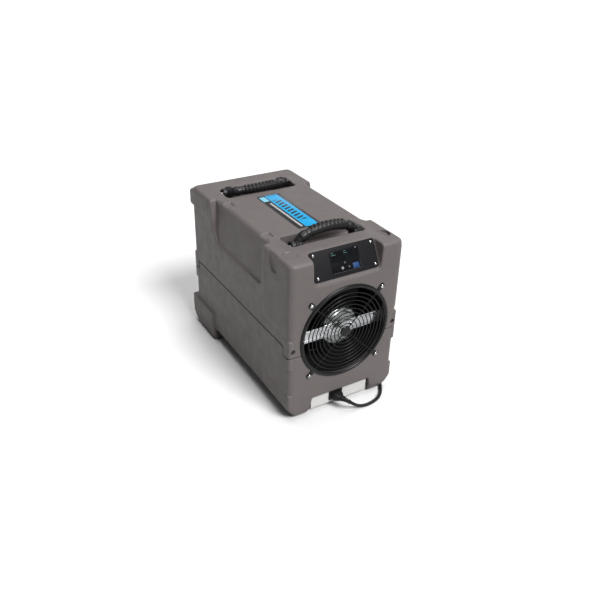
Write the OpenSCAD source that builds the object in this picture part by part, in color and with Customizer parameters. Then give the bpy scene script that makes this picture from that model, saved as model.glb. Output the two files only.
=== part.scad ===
// Portable commercial dehumidifier: two-part moulded case, front fan, control panel, two bail handles.
// Millimetres, +Z up, origin at the bottom centre of the case, fan side toward -Y.

/* [Case] */
// overall case width across the corner ears
case_width = 310; // [290:1:340]
// overall case depth, front face to rear bumpers
case_depth = 540; // [500:1:580]
// overall case height
case_height = 420; // [390:1:450]
// moulded wall thickness
wall = 5; // [4:0.5:7]
// radius of the vertical case edges
edge_radius = 14; // [8:1:20]
// height of the parting line along the long sides
seam_side = 205; // [195:1:215]
// height of the parting line at the two ends
seam_end = 183; // [175:1:190]

/* [Fan] */
// height of the fan axis
fan_height = 216; // [205:1:225]
// radius of the outlet opening in the front wall
outlet_radius = 112; // [100:1:114]
// number of guard rings
guard_rings = 9; // [7:1:12]
// number of fan blades
blade_count = 6; // [4:1:8]
// fan tip radius
blade_radius = 104; // [90:1:106]

/* [Control panel] */
// tilt of the control panel from the vertical
panel_tilt = 30; // [25:1:35]
// panel plate length
panel_length = 168; // [150:1:172]
// panel plate height along its slope
panel_height = 66; // [55:1:68]

/* [Handles] */
// distance of the handle hinge lines from the case centre
hinge_y = 175; // [173:1:175]
// radius of the handle grip
grip_radius = 13.5; // [11:0.5:13.5]
// angle the front handle stands at above its pocket
front_handle_angle = 90; // [0:1:100]
// angle the rear handle lies at above flat
rear_handle_angle = 20; // [0:1:98]

/* [Cord] */
// outside diameter of the power cord
cord_diameter = 8; // [6:0.5:10]
// mean diameter of the coiled cord
coil_mean = 120; // [80:2:140]

/* [Hidden] */
$fn = 48;
W2 = case_width / 2;
D2 = case_depth / 2;
H = case_height;
side_x = W2 - 6;
block_x = W2 - 4;
deck_z = H - 4;
rear_y = D2 - 16;
shoulder_top = 130;
shoulder_low = 143;
scoop_low = 312;
gap_z = 50;
belly_z = 28;
foot_x = 82;
seam_gap = 1.5;
ear_y = 243;
ear_x = 137.4;
ear_z = 200.5;
pocket_in = 128;
pocket_out = 191;
pocket_half = 99;
pocket_floor = 385;
hinge_z = 411;
pin_radius = 4;
play = 0.05;
panel_y = -247.5;
panel_z = 388.5;
screw_circle = 133.1;
guard_radius = 120;
pan_half = 79;
pan_front = -262;
inlet_x = -11;
inlet_z = 33;
intake_half = 118;
intake_low = 97;
intake_high = 338;
coil_half = 108;
coil_low = 74;
coil_high = 330;
fin_count = 20;
tube_rows = 7;
tube_r = 4.5;
coil_top = coil_high - 24;

// power cord route: out of the connector boot, onto the floor, round the right front foot, to the coil
cr = cord_diameter / 2;
cord_route = [
  [2, -301.5, 31],
  [5.5, -303.7, 28.5],
  [10.2, -305.6, 25],
  [15.5, -306, 20.5],
  [21.3, -305.9, 15.5],
  [28, -305.2, 11],
  [35, -305, 7.3],
  [41, -305.5, 5],
  [47.6, -306.2, cr],
  [61, -306.4, cr],
  [78, -303.7, cr],
  [93.5, -298.5, cr],
  [107.5, -288.5, cr],
  [121, -273.6, cr],
  [132, -256.5, cr],
  [142, -235, cr],
  [151, -210, cr],
  [158.5, -186, cr],
  [166, -160, cr],
  [174, -131, cr],
  [181, -100, cr],
  [186, -66, cr],
  [188, -32, cr],
  [188.5, 4, cr],
  [188.5, 40, cr]
];
coil_x = 205 + coil_mean / 2;
coil_y = 62;
coil_layers = 4;
coil_wide = 5;
coil_height = coil_layers * cord_diameter + 1;
coil_half_w = coil_wide * cord_diameter / 2 + 1;
plug_route = [
  [coil_x + 4, coil_y + 77, 28.7],
  [coil_x + 30, coil_y + 84, 22],
  [coil_x + 54, coil_y + 95, 12],
  [coil_x + 72, coil_y + 112, 6],
  [coil_x + 82, coil_y + 134, 9],
  [coil_x + 84, coil_y + 160, 12]
];

// ---- helpers -------------------------------------------------------------------------------

module box(x0, x1, y0, y1, z0, z1) {
  translate([x0, y0, z0]) cube([x1 - x0, y1 - y0, z1 - z0]);
}

// profile drawn in X and Z, extruded along Y
module along_y(y0, y1) {
  translate([0, y1, 0]) rotate([90, 0, 0]) linear_extrude(y1 - y0) children();
}

// profile drawn in Y and Z, extruded along X
module along_x(x0, x1) {
  translate([x0, 0, 0]) rotate([90, 0, 90]) linear_extrude(x1 - x0) children();
}

module mirror_x() {
  children();
  mirror([1, 0, 0]) children();
}

module rod_y(r, y0, y1) {
  translate([0, y1, 0]) rotate([90, 0, 0]) cylinder(r = r, h = y1 - y0);
}

module rod_x(r, x0, x1) {
  translate([x0, 0, 0]) rotate([0, 90, 0]) cylinder(r = r, h = x1 - x0);
}

// rounded rectangle profile built from circles and squares
module rounded_rect(lx, ly, r) {
  square([lx - 2 * r, ly], center = true);
  square([lx, ly - 2 * r], center = true);
  for (i = [-1, 1]) {
    for (j = [-1, 1]) {
      translate([i * (lx / 2 - r), j * (ly / 2 - r)]) circle(r = r);
    }
  }
}

// frame of the front face: local X right, local Y up, local Z outward
module on_front() {
  translate([0, -D2, fan_height]) rotate([90, 0, 0]) children();
}

// frame of the control panel: local Y up the slope, local Z outward
module on_panel() {
  translate([0, panel_y, panel_z]) rotate([90 - panel_tilt, 0, 0]) children();
}

// ---- moulded case --------------------------------------------------------------------------

// block with rounded vertical and top edges
module soft_block(hx, y0, y1, z0, z1, r) {
  hull() {
    for (x = [-hx + r, hx - r]) {
      for (y = [y0 + r, y1 - r]) {
        translate([x, y, z0]) cylinder(r = r, h = 1, $fn = 32);
        translate([x, y, z1 - r]) sphere(r = r, $fn = 32);
      }
    }
  }
}

module case_walls() {
  soft_block(side_x, -D2, rear_y, 60, deck_z, edge_radius);
  intersection() {
    union() {
      soft_block(block_x, -D2, -148, 236, H, edge_radius);
      soft_block(block_x, 148, D2, 363, H, edge_radius);
    }
    crown();
  }
}

// the tops of the two end blocks fall away toward the outer edges
module crown() {
  intersection() {
    along_x(-W2 - 5, W2 + 5)
      polygon([[-D2 - 5, 0], [-D2 - 5, H - 5.2], [-235, H + 0.01], [191, H + 0.01], [D2 + 5, H - 16.5], [D2 + 5, 0]]);
    along_y(-D2 - 5, D2 + 5)
      polygon([[-W2 - 5, 0], [-W2 - 5, H - 12.3], [-100, H + 0.01], [100, H + 0.01], [W2 + 5, H - 12.3], [W2 + 5, 0]]);
  }
}

// corner ears around the case bolts, on all four vertical edges
module ears() {
  mirror_x() {
    translate([W2 - 14, -D2 + 14, 149]) cylinder(r = 14, h = 79);
    translate([W2 - 14, rear_y - 14, 149]) cylinder(r = 14, h = 79);
  }
}

// rear feet and front feet, standing on the floor
module foot_front() {
  intersection() {
    along_y(-D2, -145) polygon([[foot_x, 56], [side_x, 56], [side_x, 38], [124, 7], [115, 0], [94, 0], [88, 5]]);
    along_x(80, 150) polygon([[-D2 + 6, 56], [-145, 56], [-158, 0], [-244, 0], [-262, 8], [-D2 + 6, 22]]);
  }
}

module foot_rear() {
  intersection() {
    along_y(124, D2) polygon([[foot_x, 88], [W2, 88], [W2, 10], [W2 - 9, 0], [94, 0], [88, 5]]);
    along_x(80, W2) polygon([[137, 88], [D2, 88], [D2, 30], [233, 0], [126, 0]]);
  }
}

module lower_block() {
  intersection() {
    soft_block(side_x, -D2, rear_y, 20, deck_z, edge_radius);
    along_y(-D2, rear_y)
      polygon([[-side_x, 300], [side_x, 300], [side_x, 39], [138, belly_z], [foot_x + 3, belly_z], [foot_x, gap_z],
        [-foot_x, gap_z], [-foot_x - 3, belly_z], [-138, belly_z], [-side_x, 39]]);
  }
}

// everything inside the walls of the two halves
module cavity() {
  along_y(-D2 + wall, 205)
    polygon([[-side_x + wall, gap_z + 6], [side_x - wall, gap_z + 6], [side_x - wall, 299],
      [shoulder_low - wall, 308], [shoulder_top - wall, deck_z - wall], [-shoulder_top + wall, deck_z - wall],
      [-shoulder_low + wall, 308], [-side_x + wall, 299]]);
  along_y(200, rear_y - wall)
    polygon([[-side_x + wall, gap_z + 6], [side_x - wall, gap_z + 6], [side_x - wall, 299],
      [shoulder_low - wall, 308], [shoulder_top - wall, 400], [-shoulder_top + wall, 400],
      [-shoulder_low + wall, 308], [-side_x + wall, 299]]);
  mirror_x() {
    along_y(-D2 + wall, rear_y - wall)
      polygon([[114, gap_z + 7], [114, 34], [136, 34], [side_x - wall, 43], [side_x - wall, gap_z + 7]]);
  }
  box(-block_x + 8, block_x - 8, -D2 + wall, -150, 250, H - 18);
  box(-block_x + 8, block_x - 8, 156, rear_y - wall, 300, H - 20);
}

// sloped scoops on the two long sides, open to the deck
module side_scoops() {
  mirror_x() {
    intersection() {
      along_y(-150, 150)
        polygon([[shoulder_top, H + 5], [W2 + 5, H + 5], [W2 + 5, scoop_low], [shoulder_low, scoop_low]]);
      along_x(100, W2 + 5) polygon([[-146, H + 5], [-133, scoop_low], [104, scoop_low], [116, 330], [142, H + 5]]);
    }
  }
}

// small grip scallops in the front corner blocks
module scallops() {
  mirror_x() {
    along_x(W2 - 9, W2 + 5) polygon([[-176, H + 5], [-176, 398], [-190, 374], [-212, 374], [-212, H + 5]]);
  }
}

module pocket(grow) {
  translate([0, (pocket_in + pocket_out) / 2, pocket_floor - grow])
    linear_extrude(H) rounded_rect(2 * pocket_half + 2 * grow, pocket_out - pocket_in + 2 * grow, 12 + grow);
}

module pockets(grow) {
  pocket(grow);
  mirror([0, 1, 0]) pocket(grow);
}

// sloped recess that holds the control panel
module panel_recess() {
  along_x(-88, 88)
    polygon([[-D2 - 5, 352], [-D2, 352], [-264.2, 357.6], [-229.2, 418.3], [-229, H + 5], [-D2 - 5, H + 5]]);
}

module panel_recess_wall() {
  intersection() {
    along_x(-94, 94) polygon([[-D2 + 1, 346], [-257, 346], [-219, 412], [-219, H - 3], [-D2 + 1, H - 3]]);
    soft_block(block_x, -D2, -148, 236, H, edge_radius);
  }
}

module front_openings() {
  on_front() {
    translate([0, 0, -20]) cylinder(r = outlet_radius, h = 40, $fn = 96);
    for (a = [45:90:315]) {
      rotate([0, 0, a]) translate([screw_circle, 0, -12]) cylinder(r = 2.5, h = 20);
    }
  }
  mirror_x() {
    translate([ear_x, 0, ear_z]) rod_y(5, -D2 - 1, -D2 + 8);
    translate([ear_x, 0, ear_z]) rod_y(3, -D2 - 1, -D2 + 22);
    translate([ear_x, 0, ear_z]) rod_y(5, rear_y - 8, rear_y + 1);
    translate([ear_x, 0, ear_z]) rod_y(3, rear_y - 22, rear_y + 1);
  }
}

module rear_opening() {
  box(-intake_half, intake_half, rear_y - 8, D2 + 5, intake_low, intake_high);
}

// space above (side = 1) or below the stepped parting line, set back by half the seam gap
module seam_space(side) {
  g = side * seam_gap / 2;
  z1 = side > 0 ? H + 10 : -10;
  along_x(-W2 - 10, W2 + 10)
    polygon([[-D2 - 10, seam_end + g], [-ear_y - g, seam_end + g], [-ear_y - g, seam_side + g],
      [rear_y - 27 + g, seam_side + g], [rear_y - 27 + g, seam_end + g], [D2 + 10, seam_end + g],
      [D2 + 10, z1], [-D2 - 10, z1]]);
}

module upper_housing() {
  color([0.36, 0.34, 0.33])
  intersection() {
    difference() {
      union() {
        difference() {
          union() {
            case_walls();
            ears();
          }
          side_scoops();
          cavity();
        }
        intersection() {
          pockets(wall);
          box(-block_x + 6, block_x - 6, -D2 + 10, rear_y - 1, 360, deck_z - 2);
        }
        panel_recess_wall();
      }
      pockets(0);
      panel_recess();
      on_panel() {
        translate([0, 0, -12]) linear_extrude(14) rounded_rect(140, 44, 4);
        for (x = [-75.7, 75.7]) {
          for (y = [-25, 25]) {
            translate([x, y, -10]) cylinder(r = 2, h = 12);
          }
        }
      }
      scallops();
      front_openings();
      rear_opening();
      for (s = [-1, 1]) {
        translate([0, s * hinge_y, hinge_z]) rod_x(pin_radius + play, -pocket_half - 6, pocket_half + 6);
      }
      for (x = [-121, 121]) {
        translate([x, -220, H - 4.4]) rotate([0, x > 0 ? 11.6 : -11.6, 0]) translate([0, 0, -2.4]) cylinder(r = 19, h = 14);
      }
      for (x = [-115, 115]) {
        for (y = [-108, 90]) {
          translate([x - 12, y - 12, deck_z - 1.5]) cube([24, 24, 5]);
        }
      }
    }
    seam_space(1);
  }
}

module lower_housing() {
  color([0.34, 0.33, 0.33])
  intersection() {
    difference() {
      union() {
        difference() {
          union() {
            lower_block();
            ears();
          }
          cavity();
        }
        mirror_x() {
          foot_front();
          difference() {
            foot_rear();
            box(70, side_x - wall, 120, rear_y - wall, gap_z + 6, 100);
          }
        }
      }
      front_openings();
      rear_opening();
    }
    seam_space(-1);
  }
}

module housing_gasket() {
  color([0.05, 0.05, 0.05])
  difference() {
    intersection() {
      soft_block(side_x - 1.5, -D2 + 1.5, rear_y - 1.5, 150, 300, edge_radius - 1.5);
      along_x(-W2, W2)
        polygon([[-D2, seam_end - 0.75], [-ear_y + 0.75, seam_end - 0.75], [-ear_y + 0.75, seam_side - 0.75],
          [rear_y - 27.75, seam_side - 0.75], [rear_y - 27.75, seam_end - 0.75], [D2, seam_end - 0.75],
          [D2, seam_end + 0.75], [rear_y - 26.25, seam_end + 0.75], [rear_y - 26.25, seam_side + 0.75],
          [-ear_y - 0.75, seam_side + 0.75], [-ear_y - 0.75, seam_end + 0.75], [-D2, seam_end + 0.75]]);
    }
    box(-side_x + wall, side_x - wall, -D2 + wall, rear_y - wall, 150, 300);
    front_openings();
    rear_opening();
  }
}

module housing_bolts() {
  color([0.09, 0.09, 0.1])
  mirror_x() {
    translate([ear_x, 0, ear_z]) {
      rod_y(4.5, -D2 + 3.5, -D2 + 8);
      rod_y(3, -D2 + 8, -D2 + 22);
      rod_y(4.5, rear_y - 8, rear_y - 3.5);
      rod_y(3, rear_y - 22, rear_y - 8);
    }
  }
}

module base_pan() {
  color([0.82, 0.82, 0.8])
  difference() {
    union() {
      box(-pan_half, pan_half, pan_front, 238, 13, gap_z);
      box(-pan_half - 0.5, pan_half + 0.5, pan_front, pan_front + 2, 13, gap_z);
    }
    box(-pan_half + 2, pan_half - 2, pan_front + 2, 236, 15, gap_z + 1);
    translate([inlet_x, 0, inlet_z]) along_y(pan_front - 1, pan_front + 3) rounded_rect(30, 22, 4);
    translate([50, 0, 32]) rod_y(6, 230, 240);
  }
}

// ---- fan assembly --------------------------------------------------------------------------

module ring(r_out, r_in, z0, z1) {
  translate([0, 0, z0]) linear_extrude(z1 - z0) difference() {
    circle(r = r_out, $fn = 96);
    circle(r = r_in, $fn = 96);
  }
}

module fan_guard() {
  color([0.03, 0.03, 0.035])
  on_front() {
    ring(guard_radius, 111, 0, 4);
    for (i = [1:guard_rings]) {
      r = 12 + i * (111 - 12) / (guard_rings + 1);
      ring(r, r - 2.4, 1.6, 4);
    }
    difference() {
      union() {
        cylinder(r = 13.5, h = 4);
        for (a = [45:90:315]) {
          rotate([0, 0, a]) translate([0, -1.5, 0.2]) cube([screw_circle - 6, 3, 2]);
          rotate([0, 0, a]) translate([112, -8, 0]) cube([screw_circle - 112, 16, 2.5]);
          rotate([0, 0, a]) translate([screw_circle, 0, 0]) cylinder(r = 8, h = 2.5);
        }
      }
      for (a = [45:90:315]) {
        rotate([0, 0, a]) translate([screw_circle, 0, -1]) cylinder(r = 2.5, h = 5);
      }
    }
  }
}

module guard_screws() {
  color([0.8, 0.8, 0.8])
  on_front() {
    for (a = [45:90:315]) {
      rotate([0, 0, a]) translate([screw_circle, 0, -10]) cylinder(r = 2.5, h = 12.5);
      rotate([0, 0, a]) translate([screw_circle, 0, 2.5]) cylinder(r1 = 5.2, r2 = 3.4, h = 2.5);
    }
  }
}

module fan_shroud() {
  color([0.06, 0.06, 0.06])
  translate([0, 0, fan_height]) {
    difference() {
      union() {
        rod_y(outlet_radius + 4, -D2 + wall, -172);
        rod_y(outlet_radius + 14, -D2 + wall, -D2 + wall + 3);
      }
      rod_y(outlet_radius, -D2, -160);
      for (a = [45:90:315]) {
        rotate([0, a, 0]) translate([screw_circle, 0, 0]) rod_y(9, -D2, -150);
      }
    }
  }
}

module motor_bracket() {
  color([0.78, 0.78, 0.77])
  translate([0, 0, fan_height]) {
    difference() {
      union() {
        box(-109, 109, -252, -249, -16, 16);
        intersection() {
          union() {
            box(106, 114, -252, -222, -16, 16);
            box(-114, -106, -252, -222, -16, 16);
          }
          rod_y(outlet_radius, -260, -200);
        }
      }
      for (x = [-30, 30]) {
        translate([x, 0, 0]) rod_y(2.5, -255, -245);
      }
    }
  }
}

module motor_screws() {
  color([0.7, 0.7, 0.7])
  translate([0, 0, fan_height]) {
    for (x = [-30, 30]) {
      translate([x, 0, 0]) rod_y(4.5, -255, -252);
      translate([x, 0, 0]) rod_y(2.5, -252, -243);
    }
  }
}

module fan_motor() {
  color([0.72, 0.73, 0.74])
  translate([0, 0, fan_height]) {
    difference() {
      union() {
        rod_y(40, -249, -246);
        rod_y(47, -246, -222);
        rod_y(42, -222, -200);
        rod_y(14, -200, -196);
      }
      rod_y(5 + play, -218, -190);
      for (x = [-30, 30]) {
        translate([x, 0, 0]) rod_y(2.5, -250, -243);
      }
    }
  }
}

module motor_shaft() {
  color([0.6, 0.6, 0.62])
  translate([0, 0, fan_height]) rod_y(5, -216, -152);
}

module fan_blade() {
  intersection() {
    difference() {
      rod_y(blade_radius, -193, -163);
      rod_y(31, -194, -162);
    }
    translate([0, -178, 0]) rotate([0, 0, 28]) translate([-26, -1.25, 20]) cube([52, 2.5, 100]);
  }
}

module fan_wheel() {
  color([0.04, 0.04, 0.045])
  translate([0, 0, fan_height]) {
    difference() {
      union() {
        rod_y(32, -192, -164);
        for (i = [0:blade_count - 1]) {
          rotate([0, i * 360 / blade_count + 15, 0]) fan_blade();
        }
      }
      rod_y(5, -200, -150);
      rod_y(26, -170, -160);
    }
  }
}

module fan_nut() {
  color([0.6, 0.6, 0.6])
  translate([0, 0, fan_height]) difference() {
    translate([0, -162, 0]) rotate([90, 0, 0]) cylinder(r = 9, h = 8, $fn = 6);
    rod_y(5, -180, -150);
  }
}

// ---- control panel -------------------------------------------------------------------------

module panel_plate() {
  color([0.05, 0.05, 0.055])
  on_panel() difference() {
    translate([0, 0, 1.5]) linear_extrude(3) rounded_rect(panel_length, panel_height, 5);
    translate([0.5, -0.5, 3.3]) linear_extrude(2) rounded_rect(76.4, 51.4, 2);
    translate([0.5, -0.5, 0]) linear_extrude(5) rounded_rect(70, 45, 2);
    for (x = [-75.7, 75.7]) {
      for (y = [-25, 25]) {
        translate([x, y, 0]) cylinder(r = 2, h = 6);
      }
    }
  }
}

module panel_gasket() {
  color([0.12, 0.12, 0.12])
  on_panel() linear_extrude(1.5) difference() {
    rounded_rect(panel_length - 2, panel_height - 2, 5);
    rounded_rect(140, 44, 4);
    for (x = [-75.7, 75.7]) {
      for (y = [-25, 25]) {
        translate([x, y]) circle(r = 2);
      }
    }
  }
}

module panel_screws() {
  color([0.85, 0.85, 0.85])
  on_panel() {
    for (x = [-75.7, 75.7]) {
      for (y = [-25, 25]) {
        translate([x, y, -8]) cylinder(r = 2, h = 12.5);
        translate([x, y, 4.5]) cylinder(r1 = 4.2, r2 = 2.8, h = 2);
      }
    }
  }
}

module key_places(grow) {
  translate([24.5, -16.5]) square([16 + 2 * grow, 12 + 2 * grow], center = true);
  translate([-10.5, -16]) circle(r = 4.5 + grow);
  translate([-2, -5.4]) circle(r = 3.2 + grow);
  translate([7, -16.3]) circle(r = 3.2 + grow);
}

module keypad_bezel() {
  color([0.02, 0.02, 0.025])
  on_panel() difference() {
    translate([0.5, -0.5, 3.3]) linear_extrude(2) rounded_rect(76, 51, 2);
    translate([0, 0, 3]) linear_extrude(3) key_places(0.4);
    translate([-6, 10.5, 4.5]) linear_extrude(2) square([58, 23], center = true);
    translate([32.5, 22, 3]) cylinder(r = 1.6, h = 3);
  }
}

module display_lens() {
  color([0.02, 0.03, 0.04])
  on_panel() translate([-6, 10.5, 4.5]) linear_extrude(1) square([58, 23], center = true);
}

module key_enter() {
  color([0.08, 0.25, 0.75])
  on_panel() translate([24.5, -16.5, 2.6]) linear_extrude(3.6) rounded_rect(16, 12, 1.5);
}

module round_key(x, y, r) {
  on_panel() translate([x, y, 2.6]) cylinder(r = r, h = 3.6);
}

module key_select() {
  color([0.85, 0.85, 0.85]) round_key(-10.5, -16, 4.5);
}

module key_up() {
  color([0.3, 0.3, 0.32]) round_key(-2, -5.4, 3.2);
}

module key_down() {
  color([0.3, 0.3, 0.32]) round_key(7, -16.3, 3.2);
}

module status_led() {
  color([0.9, 0.9, 0.95])
  on_panel() translate([32.5, 22, 3.3]) cylinder(r = 1.6, h = 2.4);
}

module control_board() {
  color([0.05, 0.3, 0.12])
  on_panel() {
    translate([0, 0, -7]) linear_extrude(1.6) square([130, 40], center = true);
    translate([-42, 8, -11.5]) cube([26, 10, 4.5]);
    translate([20, -14, -11]) cube([34, 22, 4]);
    for (x = [-60, 60]) {
      translate([x, 0, -5.4]) cylinder(r = 3, h = 6.9);
    }
  }
}

module top_label() {
  color([0.0, 0.55, 0.85])
  translate([-3, -7, deck_z]) linear_extrude(0.5) rounded_rect(64, 212, 3);
}

// ---- handles -------------------------------------------------------------------------------

// bail handle in its own frame: hinge on X, grip toward +Y
function bail_rib(a) = abs(a) < 42 && (a + 90) % 7 < 3.5 ? grip_radius : grip_radius - 1.5;

module bail() {
  reach = 78;
  rise = 30;
  steps = [for (k = [-46:46]) k * 1.74];
  sides = 16;
  pts = [for (a = steps, k = [0:sides - 1])
    let (r = bail_rib(a), w = r * cos(360 * k / sides), q = norm([rise * sin(a), reach * cos(a)]))
    [reach * sin(a) + w * rise * sin(a) / q, rise * cos(a) + w * reach * cos(a) / q, -r * sin(360 * k / sides)]];
  n = len(steps);
  walls = [for (i = [0:n - 2], k = [0:sides - 1])
    [i * sides + k, i * sides + (k + 1) % sides, (i + 1) * sides + (k + 1) % sides, (i + 1) * sides + k]];
  ends = [[for (k = [0:sides - 1]) sides - 1 - k], [for (k = [0:sides - 1]) (n - 1) * sides + k]];
  polyhedron(points = pts, faces = cat(walls, ends), convexity = 6);
  for (s = [0, 1]) {
    mirror([s, 0, 0]) translate([65, 0, 0]) rotate([0, 90, 0]) rotate_extrude()
      polygon([[0, 0], [11, 0], [14.8, 5], [14.8, 17], [12, 20], [12, 29], [4, 29], [4, 21.5], [0, 21.5]]);
  }
}

module bail_pins() {
  rod_x(pin_radius, -pocket_half - 5, -86.5);
  rod_x(pin_radius, 86.5, pocket_half + 5);
}

module front_place() {
  translate([0, -hinge_y, hinge_z]) rotate([front_handle_angle, 0, 0]) children();
}

module rear_place() {
  translate([0, hinge_y, hinge_z]) mirror([0, 1, 0]) rotate([rear_handle_angle, 0, 0]) children();
}

module front_handle() {
  color([0.05, 0.05, 0.055]) front_place() bail();
}

module front_handle_pins() {
  color([0.7, 0.7, 0.7]) front_place() bail_pins();
}

module rear_handle() {
  color([0.05, 0.05, 0.055]) rear_place() bail();
}

module rear_handle_pins() {
  color([0.7, 0.7, 0.7]) rear_place() bail_pins();
}

// ---- rear intake and filter ----------------------------------------------------------------

module intake_frame() {
  color([0.1, 0.1, 0.1]) {
    difference() {
      box(-intake_half - 10, intake_half + 10, 240, rear_y - wall, intake_low - 8, intake_high + 10);
      box(-intake_half + 2, intake_half - 2, 239, rear_y, intake_low + 2, intake_high - 2);
    }
    for (i = [1:9]) {
      z = intake_low + i * (intake_high - intake_low) / 10;
      box(-intake_half + 1, intake_half - 1, 240, 242.5, z - 1.5, z + 1.5);
    }
  }
}

module filter_frame() {
  color([0.08, 0.08, 0.08]) {
    x = intake_half - 0.6;
    z0 = intake_low + 0.6;
    z1 = intake_high - 0.6;
    difference() {
      union() {
        box(-x, x, rear_y - 4.5, rear_y + 6, z0, z1);
        box(-x - 6, x + 6, rear_y + 0.4, rear_y + 6, z0 - 6, z1 + 6);
      }
      box(-x + 8, x - 8, rear_y - 10, rear_y + 10, z0 + 8, z1 - 8);
    }
    for (i = [1:11]) {
      z = z0 + 8 + i * (z1 - z0 - 16) / 12;
      box(-x + 7, x - 7, rear_y + 2, rear_y + 5, z - 1.6, z + 1.6);
    }
    for (px = [-55, 0, 55]) {
      box(px - 2, px + 2, rear_y + 2, rear_y + 5, z0 + 7, z1 - 7);
    }
    box(-24, 24, rear_y + 5, rear_y + 11, z1 - 7, z1 - 2);
  }
}

module filter_media() {
  color([0.75, 0.75, 0.72])
  box(-intake_half + 8.6, intake_half - 8.6, rear_y - 4.5, rear_y + 2, intake_low + 8.6, intake_high - 8.6);
}

// ---- refrigeration parts -------------------------------------------------------------------

function tube_z(i) = coil_low + 24 + i * (coil_high - coil_low - 48) / (tube_rows - 1);

module fin_pack(y0, depth) {
  for (i = [0:fin_count - 1]) {
    x = -coil_half + i * (2 * coil_half - 1.6) / (fin_count - 1);
    along_x(x, x + 1.6) difference() {
      translate([y0, coil_low]) square([depth, coil_high - coil_low]);
      for (j = [0:tube_rows - 1]) {
        translate([y0 + depth / 2, tube_z(j)]) circle(r = tube_r);
      }
    }
  }
}

// serpentine tube through a fin pack
module serpentine(y) {
  gap = tube_z(1) - tube_z(0);
  translate([0, y, 0]) {
    for (j = [0:tube_rows - 1]) {
      translate([0, 0, tube_z(j)]) rod_x(tube_r, -coil_half - 4, coil_half + 4);
    }
    for (j = [0:tube_rows - 2]) {
      s = j % 2 == 0 ? 1 : -1;
      translate([s * (coil_half + 4), 0, tube_z(j) + gap / 2]) rotate([90, 0, 0])
        rotate([0, 0, s > 0 ? -90 : 90]) rotate_extrude(angle = 180) translate([gap / 2, 0]) circle(r = tube_r);
    }
  }
}

module evaporator_fins() {
  color([0.75, 0.77, 0.8]) fin_pack(92, 34);
}

module evaporator_tubes() {
  color([0.72, 0.42, 0.25]) serpentine(109);
}

module condenser_fins() {
  color([0.75, 0.77, 0.8]) fin_pack(30, 34);
}

module condenser_tubes() {
  color([0.72, 0.42, 0.25]) serpentine(47);
}

module coil_rails() {
  color([0.65, 0.67, 0.68]) {
    for (y = [30, 92]) {
      box(-coil_half, coil_half, y, y + 34, coil_high, coil_high + 2);
      box(-coil_half, coil_half, y, y + 34, coil_low - 2, coil_low);
    }
    box(-coil_half, coil_half, 64, 92, coil_high, coil_high + 2);
    box(-coil_half, -coil_half + 18, 30, 64, gap_z + 6, coil_low - 2);
    box(coil_half - 18, coil_half, 30, 64, gap_z + 6, coil_low - 2);
  }
}

module drain_tray() {
  color([0.2, 0.2, 0.22])
  difference() {
    box(-122, 122, 82, 136, gap_z + 6, coil_low - 2);
    box(-119, 119, 85, 133, gap_z + 9, coil_low);
  }
  color([0.2, 0.2, 0.22]) {
    box(-108, -96, 85, 133, gap_z + 9, coil_low - 2);
    box(96, 108, 85, 133, gap_z + 9, coil_low - 2);
  }
}

module compressor() {
  color([0.04, 0.04, 0.045])
  translate([52, -70, 74]) rotate_extrude($fn = 96) polygon([[0, 0], [44, 0], [52, 10], [54, 24], [54, 30], [52, 34],
    [52, 130], [54, 134], [54, 140], [51, 144], [44, 158], [26, 168], [6, 171], [0, 171]]);
}

module compressor_feet() {
  color([0.1, 0.1, 0.1])
  translate([52, -70, gap_z + 6]) {
    for (a = [45:90:315]) {
      rotate([0, 0, a]) translate([36, 0, 0]) cylinder(r = 10, h = 18);
    }
  }
}

// pipe of straight legs along the axes, joined by quarter bends
module pipe_leg(p, q, r) {
  d = q - p;
  l = norm(d);
  translate(p) rotate([0, acos(d[2] / l), atan2(d[1], d[0])]) cylinder(r = r, h = l, $fn = 24);
}

module pipe_bend(p, a, b, r, bend) {
  c = p - bend * a + bend * b;
  n = cross3(a, b);
  multmatrix([[-b[0], a[0], n[0], c[0]], [-b[1], a[1], n[1], c[1]], [-b[2], a[2], n[2], c[2]], [0, 0, 0, 1]])
    rotate_extrude(angle = 90) translate([bend, 0]) circle(r = r, $fn = 24);
}

module pipe_run(points, r, bend) {
  n = len(points);
  for (i = [0:n - 2]) {
    d = unit(points[i + 1] - points[i]);
    pipe_leg(points[i] + (i > 0 ? bend : 0) * d, points[i + 1] - (i < n - 2 ? bend : 0) * d, r);
  }
  for (i = [1:n - 2]) {
    pipe_bend(points[i], unit(points[i] - points[i - 1]), unit(points[i + 1] - points[i]), r, bend);
  }
}

module discharge_pipe() {
  color([0.72, 0.42, 0.25])
  pipe_run([[52, -70, 245], [52, -70, 262], [52, -20, 262], [100, -20, 262], [100, -20, coil_top], [100, 10, coil_top],
    [126, 10, coil_top], [126, 47, coil_top], [coil_half + 4, 47, coil_top]], 4, 7);
}

module suction_pipe() {
  color([0.72, 0.42, 0.25])
  pipe_run([[104, -70, 200], [131, -70, 200], [131, -70, 290], [131, 109, 290], [131, 109, coil_top],
    [coil_half + 4, 109, coil_top]], 5, 7.5);
}

// condenser to drier, and drier to evaporator
module liquid_line() {
  color([0.72, 0.42, 0.25]) {
    pipe_run([[-coil_half - 4, 47, 98], [-128, 47, 98], [-128, 10, 98], [-128, 10, 112]], 3, 6);
    pipe_run([[-128, 10, 172], [-128, 10, 184.5], [-128, 78, 184.5], [-128, 78, 98], [-128, 109, 98],
      [-coil_half - 4, 109, 98]], 3, 6);
  }
}

module filter_drier() {
  color([0.75, 0.55, 0.3])
  translate([-128, 10, 0]) {
    translate([0, 0, 120]) cylinder(r = 11, h = 44);
    translate([0, 0, 112]) cylinder(r1 = 4, r2 = 11, h = 8);
    translate([0, 0, 164]) cylinder(r1 = 11, r2 = 4, h = 8);
  }
}

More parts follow.
